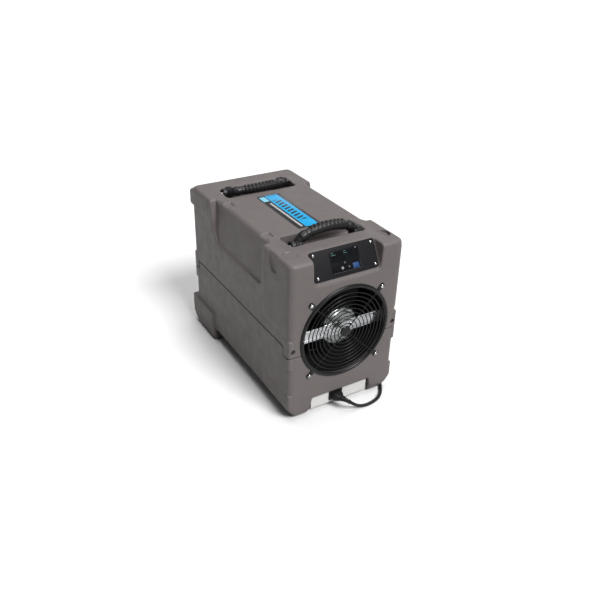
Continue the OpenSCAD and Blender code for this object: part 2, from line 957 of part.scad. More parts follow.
module pump_reservoir() {
  color([0.85, 0.85, 0.85]) {
    difference() {
      box(-134, -44, -150, -60, gap_z + 6, 124);
      box(-131, -47, -147, -63, gap_z + 9, 121);
      translate([-105, -120, 110]) cylinder(r = 8, h = 20);
    }
    translate([-66, -85, gap_z + 8]) cylinder(r = 3, h = 64);
  }
}

module pump_float() {
  color([0.9, 0.5, 0.1])
  translate([-66, -85, gap_z + 9.3]) difference() {
    cylinder(r = 14, h = 14);
    translate([0, 0, -1]) cylinder(r = 3 + play, h = 20);
  }
}

module pump_motor() {
  color([0.12, 0.12, 0.13])
  translate([-105, -120, 0]) {
    translate([0, 0, 124]) cylinder(r = 26, h = 42);
    translate([0, 0, 166]) cylinder(r = 18, h = 6);
    translate([0, 0, 90]) cylinder(r = 8, h = 34);
  }
}

module run_capacitor() {
  color([0.6, 0.62, 0.65])
  translate([-100, -20, gap_z + 6]) {
    cylinder(r = 20, h = 76);
    translate([-8, 0, 76]) cylinder(r = 3, h = 8);
    translate([8, 0, 76]) cylinder(r = 3, h = 8);
  }
}

module drain_fitting() {
  color([0.75, 0.6, 0.25])
  translate([50, 0, 32]) {
    rod_y(6, 228, 242);
    rod_y(9, 238, 242);
    rod_y(6, 242, 264);
  }
}

// ---- power entry and cord ------------------------------------------------------------------

module power_inlet() {
  color([0.07, 0.07, 0.07])
  translate([inlet_x, 0, inlet_z]) difference() {
    union() {
      along_y(pan_front - 2, pan_front) rounded_rect(38, 28, 4);
      along_y(pan_front, pan_front + 24) rounded_rect(30, 22, 4);
    }
    along_y(pan_front - 3, pan_front + 18) rounded_rect(25, 17, 2);
  }
}

module power_connector() {
  color([0.04, 0.04, 0.04])
  translate([inlet_x, 0, inlet_z]) {
    along_y(pan_front - 2, pan_front + 18) rounded_rect(25, 17, 2);
    hull() {
      along_y(pan_front - 12, pan_front - 2) rounded_rect(29, 20, 4);
      translate([3, pan_front - 20, 0]) rotate([90, 0, 14]) cylinder(r = 8.6, h = 1, $fn = 32);
    }
    translate([3, pan_front - 20, 0]) rotate([95.7, 0, 27.3]) cylinder(r1 = 7.8, r2 = cr + 1, h = 22.5);
  }
}

function cat(a, b) = [for (v = a) v, for (v = b) v];
function cross3(a, b) = [a[1] * b[2] - a[2] * b[1], a[2] * b[0] - a[0] * b[2], a[0] * b[1] - a[1] * b[0]];
function unit(v) = v / norm(v);
function spline(p0, p1, p2, p3, t) =
  0.5 * (2 * p1 + (p2 - p0) * t + (2 * p0 - 5 * p1 + 4 * p2 - p3) * t * t + (3 * p1 - p0 - 3 * p2 + p3) * t * t * t);
function at(p, i) = p[max(0, min(len(p) - 1, i))];
function smooth_path(p, n) = cat(
  [for (i = [0:len(p) - 2], k = [0:n - 1]) spline(at(p, i - 1), p[i], p[i + 1], at(p, i + 2), k / n)],
  [p[len(p) - 1]]);
function heading(p, i) = unit(at(p, i + 1) - at(p, i - 1));

// round tube swept along a list of points
module tube(path, r, sides) {
  n = len(path);
  pts = [for (i = [0:n - 1], k = [0:sides - 1])
    let (t = heading(path, i), s = unit(cross3(t, [0, 0, 1])), u = cross3(s, t), a = 360 * k / sides)
    path[i] + r * (cos(a) * s + sin(a) * u)];
  walls = [for (i = [0:n - 2], k = [0:sides - 1])
    [i * sides + k, i * sides + (k + 1) % sides, (i + 1) * sides + (k + 1) % sides, (i + 1) * sides + k]];
  start = [[for (k = [0:sides - 1]) sides - 1 - k]];
  finish = [[for (k = [0:sides - 1]) (n - 1) * sides + k]];
  polyhedron(points = pts, faces = cat(cat(walls, start), finish), convexity = 6);
}

module power_cord() {
  color([0.03, 0.03, 0.03]) tube(smooth_path(cord_route, 3), cr, 10);
}

module cord_coil() {
  color([0.03, 0.03, 0.03])
  translate([coil_x, coil_y, 0]) rotate_extrude($fn = 96)
    translate([coil_mean / 2 - coil_half_w, 0]) square([2 * coil_half_w, coil_height]);
}

module plug_lead() {
  color([0.03, 0.03, 0.03]) tube(smooth_path(plug_route, 3), cr, 10);
}

module mains_plug() {
  color([0.04, 0.04, 0.04])
  translate(plug_route[5]) {
    rod_y(7, 0, 24);
    translate([0, 24, 0]) along_y(0, 26) rounded_rect(26, 24, 6);
  }
  color([0.75, 0.7, 0.5])
  translate(plug_route[5]) {
    box(-8, -6.4, 50, 68, -3, 4);
    box(6.4, 8, 50, 68, -3, 4);
    translate([0, 0, -7]) rod_y(2.4, 50, 71);
  }
}

// ---- drawing -------------------------------------------------------------------------------

upper_housing();
lower_housing();
housing_gasket();
housing_bolts();
base_pan();
fan_guard();
guard_screws();
fan_shroud();
motor_bracket();
motor_screws();
fan_motor();
motor_shaft();
fan_wheel();
fan_nut();
panel_plate();
panel_gasket();
panel_screws();
keypad_bezel();
display_lens();
key_enter();
key_select();
key_up();
key_down();
status_led();
control_board();
top_label();
front_handle();
front_handle_pins();
rear_handle();
rear_handle_pins();
intake_frame();
filter_frame();
filter_media();
evaporator_fins();
evaporator_tubes();
condenser_fins();
condenser_tubes();
coil_rails();
drain_tray();
compressor();
compressor_feet();
discharge_pipe();
suction_pipe();
liquid_line();
filter_drier();
pump_reservoir();
pump_float();
pump_motor();
run_capacitor();
drain_fitting();
power_inlet();
power_connector();
power_cord();
cord_coil();
plug_lead();
mains_plug();
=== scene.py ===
"""Portable commercial dehumidifier: the looks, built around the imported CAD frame."""

import itertools
import math
import random

import bmesh
import bpy
import numpy as np
import openvdb
from mathutils import Matrix, Vector


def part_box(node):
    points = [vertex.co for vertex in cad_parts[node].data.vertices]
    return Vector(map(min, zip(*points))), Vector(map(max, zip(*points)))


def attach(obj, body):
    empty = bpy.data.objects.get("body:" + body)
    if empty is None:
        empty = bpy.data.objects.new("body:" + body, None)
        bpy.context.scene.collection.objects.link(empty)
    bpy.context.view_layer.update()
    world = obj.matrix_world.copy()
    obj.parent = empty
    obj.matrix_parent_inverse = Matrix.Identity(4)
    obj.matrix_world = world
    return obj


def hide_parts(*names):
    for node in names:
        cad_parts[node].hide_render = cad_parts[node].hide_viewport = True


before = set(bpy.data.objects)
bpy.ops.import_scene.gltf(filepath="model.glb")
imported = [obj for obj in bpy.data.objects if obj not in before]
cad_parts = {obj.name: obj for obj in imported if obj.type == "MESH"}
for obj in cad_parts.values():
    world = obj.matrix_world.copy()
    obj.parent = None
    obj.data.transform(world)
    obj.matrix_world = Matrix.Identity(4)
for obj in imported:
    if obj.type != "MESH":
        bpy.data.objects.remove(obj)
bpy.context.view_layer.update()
MM = 0.001
rng = random.Random(7)


def corners(node):
    """Lowest and highest corner of a CAD node, in millimetres."""
    lo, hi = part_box(node)
    return np.array(lo) / MM, np.array(hi) / MM


# ---- camera ----

CAM_AZIMUTH, CAM_ELEVATION, CAM_ROLL = (math.radians(a) for a in (-31.018, 30.380, 1.365))
CAM_PLACE = Vector((-0.76581, -1.31693, 1.06548))
CAM_LENS = 41.04


def add_camera():
    az, el, roll = CAM_AZIMUTH, CAM_ELEVATION, CAM_ROLL
    back = Vector((math.sin(az) * math.cos(el), -math.cos(az) * math.cos(el), math.sin(el)))
    right = Vector((0, 0, 1)).cross(back).normalized()
    up = back.cross(right)
    side = math.cos(roll) * right + math.sin(roll) * up
    top = -math.sin(roll) * right + math.cos(roll) * up
    cam = bpy.data.cameras.new("camera")
    cam.lens, cam.sensor_width = CAM_LENS, 36
    cam.clip_start, cam.clip_end = 0.01, 50
    ob = bpy.data.objects.new("camera", cam)
    bpy.context.scene.collection.objects.link(ob)
    ob.matrix_world = Matrix((side, top, back)).transposed().to_4x4()
    ob.matrix_world.translation = CAM_PLACE
    bpy.context.scene.camera = ob


add_camera()

# ---- mesh helpers ----


def link(ob):
    bpy.context.scene.collection.objects.link(ob)
    return ob


def smooth_by_angle(ob, degrees=35):
    """Smooth shading, with edges sharper than the angle kept crisp."""
    bm = bmesh.new()
    bm.from_mesh(ob.data)
    for f in bm.faces:
        f.smooth = True
    for e in bm.edges:
        e.smooth = len(e.link_faces) == 2 and e.calc_face_angle(0) < math.radians(degrees)
    bm.to_mesh(ob.data)
    bm.free()


def mesh_piece(name, verts, faces, angle=35):
    """A closed mesh from points in millimetres, with its faces turned outward."""
    me = bpy.data.meshes.new(name)
    me.from_pydata([tuple(c * MM for c in v) for v in verts], [], faces)
    bm = bmesh.new()
    bm.from_mesh(me)
    bmesh.ops.remove_doubles(bm, verts=bm.verts, dist=1e-6)
    bmesh.ops.recalc_face_normals(bm, faces=bm.faces)
    bm.to_mesh(me)
    bm.free()
    ob = link(bpy.data.objects.new(name, me))
    smooth_by_angle(ob, angle)
    return ob


def apply_modifiers(ob):
    deps = bpy.context.evaluated_depsgraph_get()
    me = bpy.data.meshes.new_from_object(ob.evaluated_get(deps))
    old = ob.data
    ob.modifiers.clear()
    ob.data = me
    bpy.data.meshes.remove(old)


def bevel(ob, width, segments=3, angle=30):
    mod = ob.modifiers.new("bevel", "BEVEL")
    mod.width, mod.segments, mod.limit_method = width * MM, segments, "ANGLE"
    mod.angle_limit = math.radians(angle)
    mod.use_clamp_overlap = True
    apply_modifiers(ob)
    smooth_by_angle(ob)


def join(name, obs):
    """Several pieces of one body, as one piece."""
    bm = bmesh.new()
    for ob in obs:
        part = ob.data.copy()
        part.transform(ob.matrix_world)
        bm.from_mesh(part)
        bpy.data.meshes.remove(part)
    me = bpy.data.meshes.new(name)
    bm.to_mesh(me)
    bm.free()
    for m in obs[0].data.materials:
        me.materials.append(m)
    for ob in obs:
        bpy.data.objects.remove(ob)
    return link(bpy.data.objects.new(name, me))


def skin(count, size, loop=False):
    """Faces of a tube of count rings with size points each, capped at both ends unless it loops."""
    faces = []
    for i in range(count if loop else count - 1):
        a, b = i * size, (i + 1) % count * size
        for k in range(size):
            m = (k + 1) % size
            faces.append((a + k, a + m, b + m, b + k))
    if not loop:
        faces += [tuple(reversed(range(size))), tuple(range((count - 1) * size, count * size))]
    return faces


def revolve(name, profile, sides, to_world, angle=35):
    """A solid from a closed profile of (radius, height) turned about an axis."""
    verts = []
    for c, s in circle(1, sides):
        verts += [to_world(r * c, r * s, h) for r, h in profile]
    return mesh_piece(name, verts, skin(sides, len(profile), True), angle)


def rounded(points, radius, steps=4):
    """A closed polygon whose corners are arcs; radius is one number, or one for each corner."""
    out = []
    n = len(points)
    for i, p in enumerate(points):
        p = np.array(p, float)
        a, b = np.array(points[i - 1], float) - p, np.array(points[(i + 1) % n], float) - p
        r = radius[i] if hasattr(radius, "__len__") else radius
        la, lb = np.linalg.norm(a), np.linalg.norm(b)
        a, b = a / la, b / lb
        half = math.acos(max(-1, min(1, float(a @ b)))) / 2
        if r <= 0 or half > math.pi / 2 - 0.02:
            out.append(tuple(p))
            continue
        reach = min(r / math.tan(half), 0.49 * la, 0.49 * lb)
        r = reach * math.tan(half)
        centre = p + (a + b) / np.linalg.norm(a + b) * r / math.sin(half)
        s, e = p + a * reach - centre, p + b * reach - centre
        a0 = math.atan2(s[1], s[0])
        turn = (math.atan2(e[1], e[0]) - a0 + math.pi) % (2 * math.pi) - math.pi
        for k in range(steps + 1):
            t = a0 + turn * k / steps
            out.append((centre[0] + r * math.cos(t), centre[1] + r * math.sin(t)))
    return out


def rounded_rectangle(lx, ly, r, steps=5):
    x, y = lx / 2, ly / 2
    return rounded([(-x, -y), (x, -y), (x, y), (-x, y)], r, steps)


def prism(name, outline, z0, z1, to_world, edge=0.0, angle=35):
    """A plate of that outline between two heights, its upper edge rounded."""
    rings = [(0.0, z0)]
    if edge > 0:
        for k in range(5):
            t = math.pi / 2 * k / 4
            rings.append((edge * (1 - math.cos(t)), z1 - edge + edge * math.sin(t)))
    else:
        rings.append((0.0, z1))
    n = len(outline)
    pts = np.array(outline, float)
    inward = np.zeros_like(pts)
    for i in range(n):
        d = pts[(i + 1) % n] - pts[i - 1]
        inward[i] = (-d[1], d[0])
        inward[i] /= np.linalg.norm(inward[i])
    verts = []
    for inset, z in rings:
        verts += [to_world(x, y, z) for x, y in pts + inward * inset]
    return mesh_piece(name, verts, skin(len(rings), n), angle)


def sweep(name, path, section, angle=35):
    """A tube along a path. section(i) gives the points (side, up) of the ring at point i."""
    path = [Vector(p) for p in path]
    side = None
    rings = []
    for i, p in enumerate(path):
        t = (path[min(i + 1, len(path) - 1)] - path[max(i - 1, 0)]).normalized()
        if side is None:
            side = t.cross(Vector((0, 0, 1)))
            if side.length < 0.1:
                side = t.cross(Vector((0, 1, 0)))
        side = (side - t * side.dot(t)).normalized()
        up = side.cross(t)
        rings.append([p + side * s + up * u for s, u in section(i)])
    verts = [tuple(v) for ring in rings for v in ring]
    return mesh_piece(name, verts, skin(len(path), len(rings[0])), angle)


def circle(r, sides):
    angles = (2 * math.pi * k / sides for k in range(sides))
    return [(r * math.cos(a), r * math.sin(a)) for a in angles]


def bar(name, lo, hi, edge=0.6):
    """A straight bar between two corners, with rounded edges."""
    x0, y0, z0 = lo
    x1, y1, z1 = hi
    verts = [(x, y, z) for x in (x0, x1) for y, z in ((y0, z0), (y0, z1), (y1, z1), (y1, z0))]
    ob = mesh_piece(name, verts, skin(2, 4))
    if edge > 0:
        bevel(ob, edge, 2)
    return ob


def shifted(to_world, du, dv, dh=0.0):
    """The same placement with its origin moved."""
    return lambda u, v, h: to_world(u + du, v + dv, h + dh)


def spun(to_world, angle):
    """The same placement turned about its outward axis."""
    c, s = math.cos(angle), math.sin(angle)
    return lambda u, v, h: to_world(u * c - v * s, u * s + v * c, h)


def ease(t):
    """Smooth step from 0 to 1."""
    t = np.clip(t, 0, 1)
    return t * t * (3 - 2 * t)


# ---- materials ----


class Nodes:
    """A node material under construction."""

    def __init__(self, name):
        self.mat = bpy.data.materials.new(name)
        self.mat.use_nodes = True
        self.tree = self.mat.node_tree
        self.shader = self.tree.nodes["Principled BSDF"]
        self.place = self.tree.nodes.new("ShaderNodeTexCoord").outputs["Object"]

    def add(self, kind, **values):
        node = self.tree.nodes.new("ShaderNode" + kind)
        for key, value in values.items():
            if key in node.inputs:
                node.inputs[key].default_value = value
            else:
                setattr(node, key, value)
        return node

    def wire(self, a, b):
        self.tree.links.new(a, b)

    def noise(self, scale, detail=3.0, rough=0.5, stretch=None):
        node = self.add("TexNoise", Scale=scale, Detail=detail, Roughness=rough)
        place = self.place
        if stretch:
            m = self.add("Mapping", Scale=stretch)
            self.wire(place, m.inputs["Vector"])
            place = m.outputs[0]
        self.wire(place, node.inputs["Vector"])
        return node.outputs["Fac"]

    def ramp(self, fac, stops, mode="LINEAR"):
        node = self.add("ValToRGB")
        node.color_ramp.interpolation = mode
        for i, (at, colour) in enumerate(stops):
            if len(colour) == 3:
                colour = (*colour, 1)
            if i < 2:
                e = node.color_ramp.elements[i]
                e.position = at
            else:
                e = node.color_ramp.elements.new(at)
            e.color = colour
        self.wire(fac, node.inputs["Fac"])
        return node.outputs["Color"]

    def span(self, fac, low, high, start=0.3, end=0.7):
        node = self.add("MapRange", **{"From Min": start, "From Max": end, "To Min": low, "To Max": high})
        self.wire(fac, node.inputs["Value"])
        return node.outputs["Result"]

    def mottled(self, fac, base, spread):
        return self.ramp(fac, [(0.3, tint(base, 1 - spread)), (0.7, tint(base, 1 + spread))])

    def feed(self, socket, value):
        """Wire another node into a socket, or set its plain value."""
        if isinstance(value, bpy.types.NodeSocket):
            self.wire(value, socket)
        elif isinstance(value, tuple) and len(value) == 3:
            socket.default_value = (*value, 1)
        else:
            socket.default_value = value

    def mix(self, fac, a, b, mode="MIX"):
        node = self.add("Mix", data_type="RGBA", blend_type=mode)
        for value, socket in ((fac, 0), (a, 6), (b, 7)):
            self.feed(node.inputs[socket], value)
        return node.outputs[2]

    def maths(self, op, a, b=0.0):
        node = self.add("Math", operation=op)
        self.feed(node.inputs[0], a)
        self.feed(node.inputs[1], b)
        return node.outputs[0]

    def axes(self):
        node = self.add("SeparateXYZ")
        self.wire(self.place, node.inputs[0])
        return node.outputs

    def bump(self, height, strength, distance):
        node = self.add("Bump", Strength=strength, Distance=distance)
        self.wire(height, node.inputs["Height"])
        old = self.shader.inputs["Normal"]
        if old.is_linked:
            self.wire(old.links[0].from_socket, node.inputs["Normal"])
        self.wire(node.outputs[0], old)

    def set(self, **values):
        for key, value in values.items():
            self.feed(self.shader.inputs[key.replace("_", " ")], value)


def tint(colour, k):
    return tuple(min(1.0, c * k) for c in colour)


def plastic(name, base, rough=(0.45, 0.6), grain=1500, bump=0.12, mottle=14, spread=0.1, specular=0.5):
    """Moulded plastic: slow mottling, fine speckle, leather-like grain and uneven gloss."""
    m = Nodes(name)
    colour = m.mottled(m.noise(mottle, 4), base, spread)
    speck = m.span(m.noise(grain, 2), 0.93, 1.07)
    grey = m.add("CombineXYZ")
    for i in range(3):
        m.wire(speck, grey.inputs[i])
    colour = m.mix(1.0, colour, grey.outputs[0], "MULTIPLY")
    m.set(Base_Color=colour, Roughness=m.span(m.noise(mottle * 3, 4), *rough), Specular_IOR_Level=specular)
    m.bump(m.noise(grain, 3), bump, 0.0004)
    return m


def metal(name, base, rough=(0.25, 0.4), stretch=None, scale=400, bump=0.05, spread=0.08):
    """Bare or plated metal: drawn lines or fine grain, and clouded gloss."""
    m = Nodes(name)
    lines = m.noise(scale, 3, 0.6, stretch)
    m.set(Base_Color=m.mottled(m.noise(22, 4), base, spread), Metallic=1.0, Roughness=m.span(lines, *rough))
    m.bump(lines, bump, 0.0003)
    return m


def case_material():
    base = (0.088, 0.0765, 0.0755)
    m = Nodes("case_plastic")
    slow = m.noise(9, 5, 0.55)
    colour = m.ramp(slow, [(0.25, tint(base, 0.93)), (0.75, tint(base, 1.07))])
    blotch = m.noise(60, 3)
    colour = m.mix(m.span(blotch, 0, 0.35), colour, tint(base, 1.12))
    speck = m.noise(1300, 2)
    colour = m.mix(m.span(speck, 0.25, 0.0, 0.3, 0.5), colour, tint(base, 0.8))
    scuff = m.noise(210, 6, 0.7, (1.0, 0.25, 0.6))
    colour = m.mix(m.span(scuff, 0.0, 0.22, 0.62, 0.78), colour, tint(base, 1.55))
    m.set(Base_Color=colour, Roughness=m.span(m.noise(35, 5), 0.44, 0.58), Specular_IOR_Level=0.24)
    m.bump(m.noise(45, 3), 0.06, 0.0010)
    m.bump(m.noise(900, 3), 0.16, 0.0004)
    return m.mat


CASE = case_material()
BLACK = plastic("black_plastic", (0.008, 0.008, 0.009), (0.4, 0.55), 1400, 0.14, specular=0.22).mat
GRIP = plastic("grip_rubber", (0.008, 0.0075, 0.008), (0.34, 0.48), 1100, 0.12, specular=0.25).mat
RUBBER = plastic("black_rubber", (0.005, 0.005, 0.0055), (0.45, 0.6), 900, 0.2, specular=0.2).mat
CORD = plastic("cord_sheath", (0.005, 0.005, 0.0055), (0.4, 0.52), 1600, 0.1, specular=0.22).mat
FOAM = plastic("foam_seal", (0.03, 0.03, 0.031), (0.85, 0.95), 700, 0.5).mat
PANEL_FINISH = {"spread": 0.05, "specular": 0.09}
PANEL = plastic("panel_black", (0.0065, 0.0065, 0.0075), (0.42, 0.54), 2200, 0.05, **PANEL_FINISH).mat
WIRE = plastic("guard_wire", (0.0045, 0.0045, 0.005), (0.28, 0.4), 1800, 0.05, specular=0.2).mat
DARK_STEEL = metal("dark_steel", (0.05, 0.05, 0.053), (0.35, 0.5)).mat
CHROME = metal("screw_chrome", (0.42, 0.42, 0.41), (0.14, 0.24), None, 900, 0.03).mat
SHAFT = metal("shaft_steel", (0.55, 0.55, 0.57), (0.2, 0.32), (1, 0.1, 1), 1200).mat
STRIP = metal("bracket_steel", (0.5, 0.51, 0.52), (0.16, 0.3), (0.12, 1, 1), 700, 0.04).mat
ALLOY = metal("motor_alloy", (0.28, 0.3, 0.29), (0.22, 0.4), None, 500, 0.08, 0.12).mat
COPPER = metal("copper", (0.72, 0.36, 0.2), (0.25, 0.42), None, 300, 0.05, 0.15).mat
FIN = metal("fin_alloy", (0.7, 0.72, 0.75), (0.3, 0.45), (1, 1, 0.1), 600).mat
ZINC = metal("rail_zinc", (0.6, 0.62, 0.64), (0.3, 0.5), None, 90, 0.05, 0.15).mat
BRASS = metal("brass", (0.72, 0.55, 0.24), (0.22, 0.36), None, 400).mat


def media_material():
    m = Nodes("filter_media")
    weave = m.noise(520, 4, 0.7)
    m.set(Base_Color=m.ramp(weave, [(0.3, (0.42, 0.42, 0.40)), (0.7, (0.66, 0.66, 0.63))]), Roughness=0.92)
    m.bump(weave, 0.6, 0.0008)
    return m.mat


def board_material():
    m = Nodes("circuit_board")
    trace = m.noise(160, 1)
    green = m.ramp(trace, [(0.45, (0.01, 0.09, 0.035)), (0.55, (0.02, 0.16, 0.06))], "CONSTANT")
    m.set(Base_Color=green, Roughness=0.35)
    m.bump(trace, 0.2, 0.0003)
    return m.mat


def lens_material():
    m = Nodes("lens")
    m.set(Base_Color=m.ramp(m.noise(30, 2), [(0.3, (0.0022, 0.0028, 0.0035)), (0.7, (0.004, 0.005, 0.006))]),
          Roughness=m.span(m.noise(60, 3), 0.1, 0.18), Specular_IOR_Level=0.3)
    return m.mat


# Emissive material: real light on the display segments and the status lamp, painted glow on the keys and the
# overlay trim.
def glow_material(name, colour, base, strength):
    m = Nodes(name)
    fade = m.noise(700, 2)
    m.set(Base_Color=m.mottled(fade, base, 0.1), Roughness=0.35, Emission_Color=(*colour, 1),
          Emission_Strength=strength)
    m.bump(fade, 0.05, 0.0002)
    return m.mat


PAN = plastic("pan_paint", (0.43, 0.425, 0.415), (0.3, 0.45), 600, 0.2, 8, 0.03).mat
MEDIA = media_material()
BOARD = board_material()
LENS = lens_material()
# The key caps and the overlay trim are no lamps: their emission is painted glow.
KEY_BLUE_PAINTED_GLOW = glow_material("key_blue", (0.0, 0.12, 0.42), (0.001, 0.02, 0.075), 0.14)
KEY_WHITE_PAINTED_GLOW = glow_material("key_white", (0.8, 0.85, 0.9), (0.13, 0.135, 0.145), 0.04)
KEY_GREY_PAINTED_GLOW = glow_material("key_grey", (0.4, 0.42, 0.45), (0.035, 0.036, 0.042), 0.01)
DIGITS = glow_material("display_segments", (0.16, 0.42, 0.38), (0.06, 0.13, 0.12), 0.12)
LED = glow_material("status_led", (0.9, 0.95, 1.0), (0.12, 0.125, 0.135), 0.03)


def paint(ob, mat):
    ob.data.materials.clear()
    ob.data.materials.append(mat)
    return ob


def repaint(node, mat):
    """A CAD node whose shape stays gets a better material."""
    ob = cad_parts[node]
    if not ob.data.materials:
        ob.data.materials.append(mat)
    for s in ob.material_slots:
        s.material = mat


def piece(ob, mat, body, *nodes):
    paint(ob, mat)
    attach(ob, body)
    if nodes:
        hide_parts(*nodes)
    return ob


# ---- power cord: connector boot, floor route, coil, plug ----

CORD_D = 8.0
CORD_R = CORD_D / 2
# down from the connector, then along the floor past the right front foot
DROP = [
    (2, -301.5, 31), (5.5, -303.7, 28.5), (10.2, -305.6, 25), (15.5, -306.2, 20.5), (21.5, -306.1, 15.5),
    (28, -305.6, 10.8), (35, -305.2, 7), (42, -305.6, 4.8),
]
FLOOR = [
    (50, -306.6), (62, -307), (78, -304.4), (93.5, -299), (108, -289), (121.6, -273.6), (132.6, -256.5),
    (142, -235), (151, -210), (158.5, -186), (166, -160), (174, -131), (181, -100), (186, -66), (188, -32),
    (188.5, 4), (188.5, 36),
]
ROUTE = DROP + [(x, y, CORD_R) for x, y in FLOOR]
COIL_AT = (265.0, 62.0)
COIL_PITCH = 8.25
COIL_OUTER = 60 + 2 * COIL_PITCH
LEAD = [
    (291, 145, 26), (306, 149, 20), (321, 156, 13.5), (335, 167, 8.5), (344, 182, 8), (348.5, 200, 10.5),
    (349, 215, 12), (349, 229, 12),
]
PLUG_AT = (349.0, 222.0, 12.0)
COIL_TURNS = 18.2
# the turn at which each layer's winding starts to move over, and whether it moves inward or outward
COIL_PASSES = ((0.5, 1), (5.0, -1), (9.5, 1), (14.0, -1))
COIL_CLIMBS = (4.25, 8.75, 13.25)
COIL_SHIFT = 0.25


def coil_ring_and_layer(t):
    """Which ring and which layer the cord is in after t turns of the winding."""
    ring = sum(way * ease((t - start - k) / COIL_SHIFT) for start, way in COIL_PASSES for k in range(4))
    layer = sum(ease((t - start) / COIL_SHIFT) for start in COIL_CLIMBS)
    return ring, layer


def coil_points():
    each = 20
    out = []
    for i in range(int(COIL_TURNS * each) + 1):
        t = i / each
        ring, layer = coil_ring_and_layer(t)
        r = COIL_OUTER - ring * COIL_PITCH
        a = math.pi - 2 * math.pi * t
        out.append((COIL_AT[0] + r * math.cos(a), COIL_AT[1] + r * math.sin(a), CORD_R + layer * COIL_PITCH))
    return out


def build_cord():
    points = ROUTE + coil_points() + LEAD
    curve = bpy.data.curves.new("mains_cord", "CURVE")
    curve.dimensions = "3D"
    curve.bevel_depth = CORD_R * MM
    curve.bevel_resolution = 3
    curve.use_fill_caps = True
    spline = curve.splines.new("NURBS")
    spline.points.add(len(points) - 1)
    for p, q in zip(spline.points, points):
        p.co = (q[0] * MM, q[1] * MM, q[2] * MM, 1)
    spline.order_u = 4
    spline.use_endpoint_u = True
    spline.resolution_u = 3
    return link(bpy.data.objects.new("mains_cord", curve))


def build_plug():
    """Moulded three-pin plug, its pins along +Y."""
    x0, y0, z0 = PLUG_AT
    neck = [(0, 4.4), (6, 5.2), (12, 6.2), (18, 7.2), (22, 8.2)]
    head = [(26, 12.3), (32, 12.9), (40, 12.9), (44, 12.6), (46.5, 12.9), (49, 12.9), (50, 12.0)]
    path = [(x0, y0 + d, z0) for d, _ in neck + head]
    sections = [rounded_rectangle(2 * w, 2 * w, w * 0.98, 4) for _, w in neck]
    sections += [rounded_rectangle(2 * w, 2 * min(w, 11.9), 5.5, 4) for _, w in head]
    body = sweep("plug_body", path, lambda i: sections[i], angle=50)
    grips = []
    for k in range(4):
        y, w = y0 + 3 + k * 4.6, 5.6 + k * 0.75
        path = [(x0, y + d, z0) for d in (0, 0.7, 1.9, 2.6)]
        rings = [circle(r, 24) for r in (w, w + 0.9, w + 0.9, w)]
        grips.append(sweep(f"plug_rib_{k}", path, lambda i, rings=rings: rings[i], angle=50))
    blades = [bar("blade", (x0 - 8, y0 + 49, z0 - 3), (x0 - 6.5, y0 + 67.5, z0 + 3.6), 0.4),
              bar("blade", (x0 + 6.5, y0 + 49, z0 - 3), (x0 + 8, y0 + 67.5, z0 + 3.6), 0.4),
              revolve("pin", [(0.01, 49), (2.35, 49), (2.35, 68.5), (1.6, 70.6), (0.01, 70.9)], 20,
                      lambda a, b, h: (x0 + a, y0 + h, z0 - 7 + b))]
    return join("mains_plug_body", [body] + grips), join("mains_plug_pins", blades)


def build_connector():
    """Moulded inlet connector with a ribbed, tapering boot along the cord's first stretch."""
    lo, hi = corners("power_inlet")
    cx, cz = (lo[0] + hi[0]) / 2, (lo[2] + hi[2]) / 2
    front = lo[1]
    path = [(cx, front + 16, cz), (cx, front - 0.2, cz)]
    nose = sweep("nose", path, lambda i: rounded_rectangle(24.6, 16.6, 2, 3))
    stations = [(-0.2, 26.8, 18.2), (-1.4, 28.4, 19.6), (-8, 28.6, 19.8), (-12, 27.4, 19.0),
                (-15.5, 23.5, 17.6), (-18.5, 19.2, 16.4), (-20.5, 16.6, 15.4)]
    outlines = [rounded_rectangle(w, h, min(0.42 * h, 3.4 + i), 5) for i, (_, w, h) in enumerate(stations)]
    path = [(cx + 3 * max(0, (-d - 8) / 12.5), front + d, cz) for d, *_ in stations]
    shell = sweep("shell", path, lambda i: outlines[i], angle=50)
    start, end = Vector((cx + 3, front - 19, cz)), Vector(ROUTE[1])
    bow = end - 13 * (Vector(ROUTE[2]) - Vector(ROUTE[0])).normalized()
    steps = 30
    ts = [i / steps for i in range(steps + 1)]
    line = [(1 - t) ** 2 * start + 2 * t * (1 - t) * bow + t * t * end for t in ts]

    def boot(i):
        groove = 1.9 if i % 6 in (3, 4, 5) and i < steps - 1 else 0.0
        return circle(8.0 - 2.9 * i / steps - groove, 28)

    relief = sweep("boot", line, boot, angle=60)
    ridges = []
    for x in (cx - 14, cx + 14):
        ridges.append(bar("side_ridge", (x - 0.7, front - 11, cz - 5), (x + 0.6, front - 3, cz + 5), 0.6))
    return join("connector_body", [nose, shell, relief] + ridges)


cord = build_cord()
plug_body, plug_pins = build_plug()
connector = build_connector()
piece(cord, CORD, "case", "power_cord", "cord_coil", "plug_lead")
piece(plug_body, RUBBER, "case", "mains_plug")
piece(plug_pins, BRASS, "case")
piece(connector, RUBBER, "case", "power_connector")

# ---- moulded case: distance field of the rounded outer body, shelled and split at the seam ----

STEP = 1.6
W2, D2, H = corners("upper_housing")[1]
SIDE_X, BLOCK_X = W2 - 6, W2 - 4
DECK_Z, REAR_Y = H - 4, D2 - 16
FAN_Z = 216.0
WALL = 5.0
BIG, INSIDE = 40.0, -30
SEAM_LOW, SEAM_HIGH = 183, 205
BOLT_X, BOLT_Z = 137.4, 200.5
PANEL_Y, PANEL_Z, PANEL_TILT = -247.5, 388.5, math.radians(30)

xs = np.arange(-(math.ceil((W2 + 4) / STEP)), math.ceil((W2 + 4) / STEP) + 1) * STEP
half = len(xs) // 2
X = xs[half:].astype(np.float32)[:, None, None]
ys = np.arange(-D2 - 4, D2 + 4 + STEP, STEP)
zs = np.arange(-4, H + 4 + STEP, STEP)
Y = ys.astype(np.float32)[None, :, None]
Z = zs.astype(np.float32)[None, None, :]


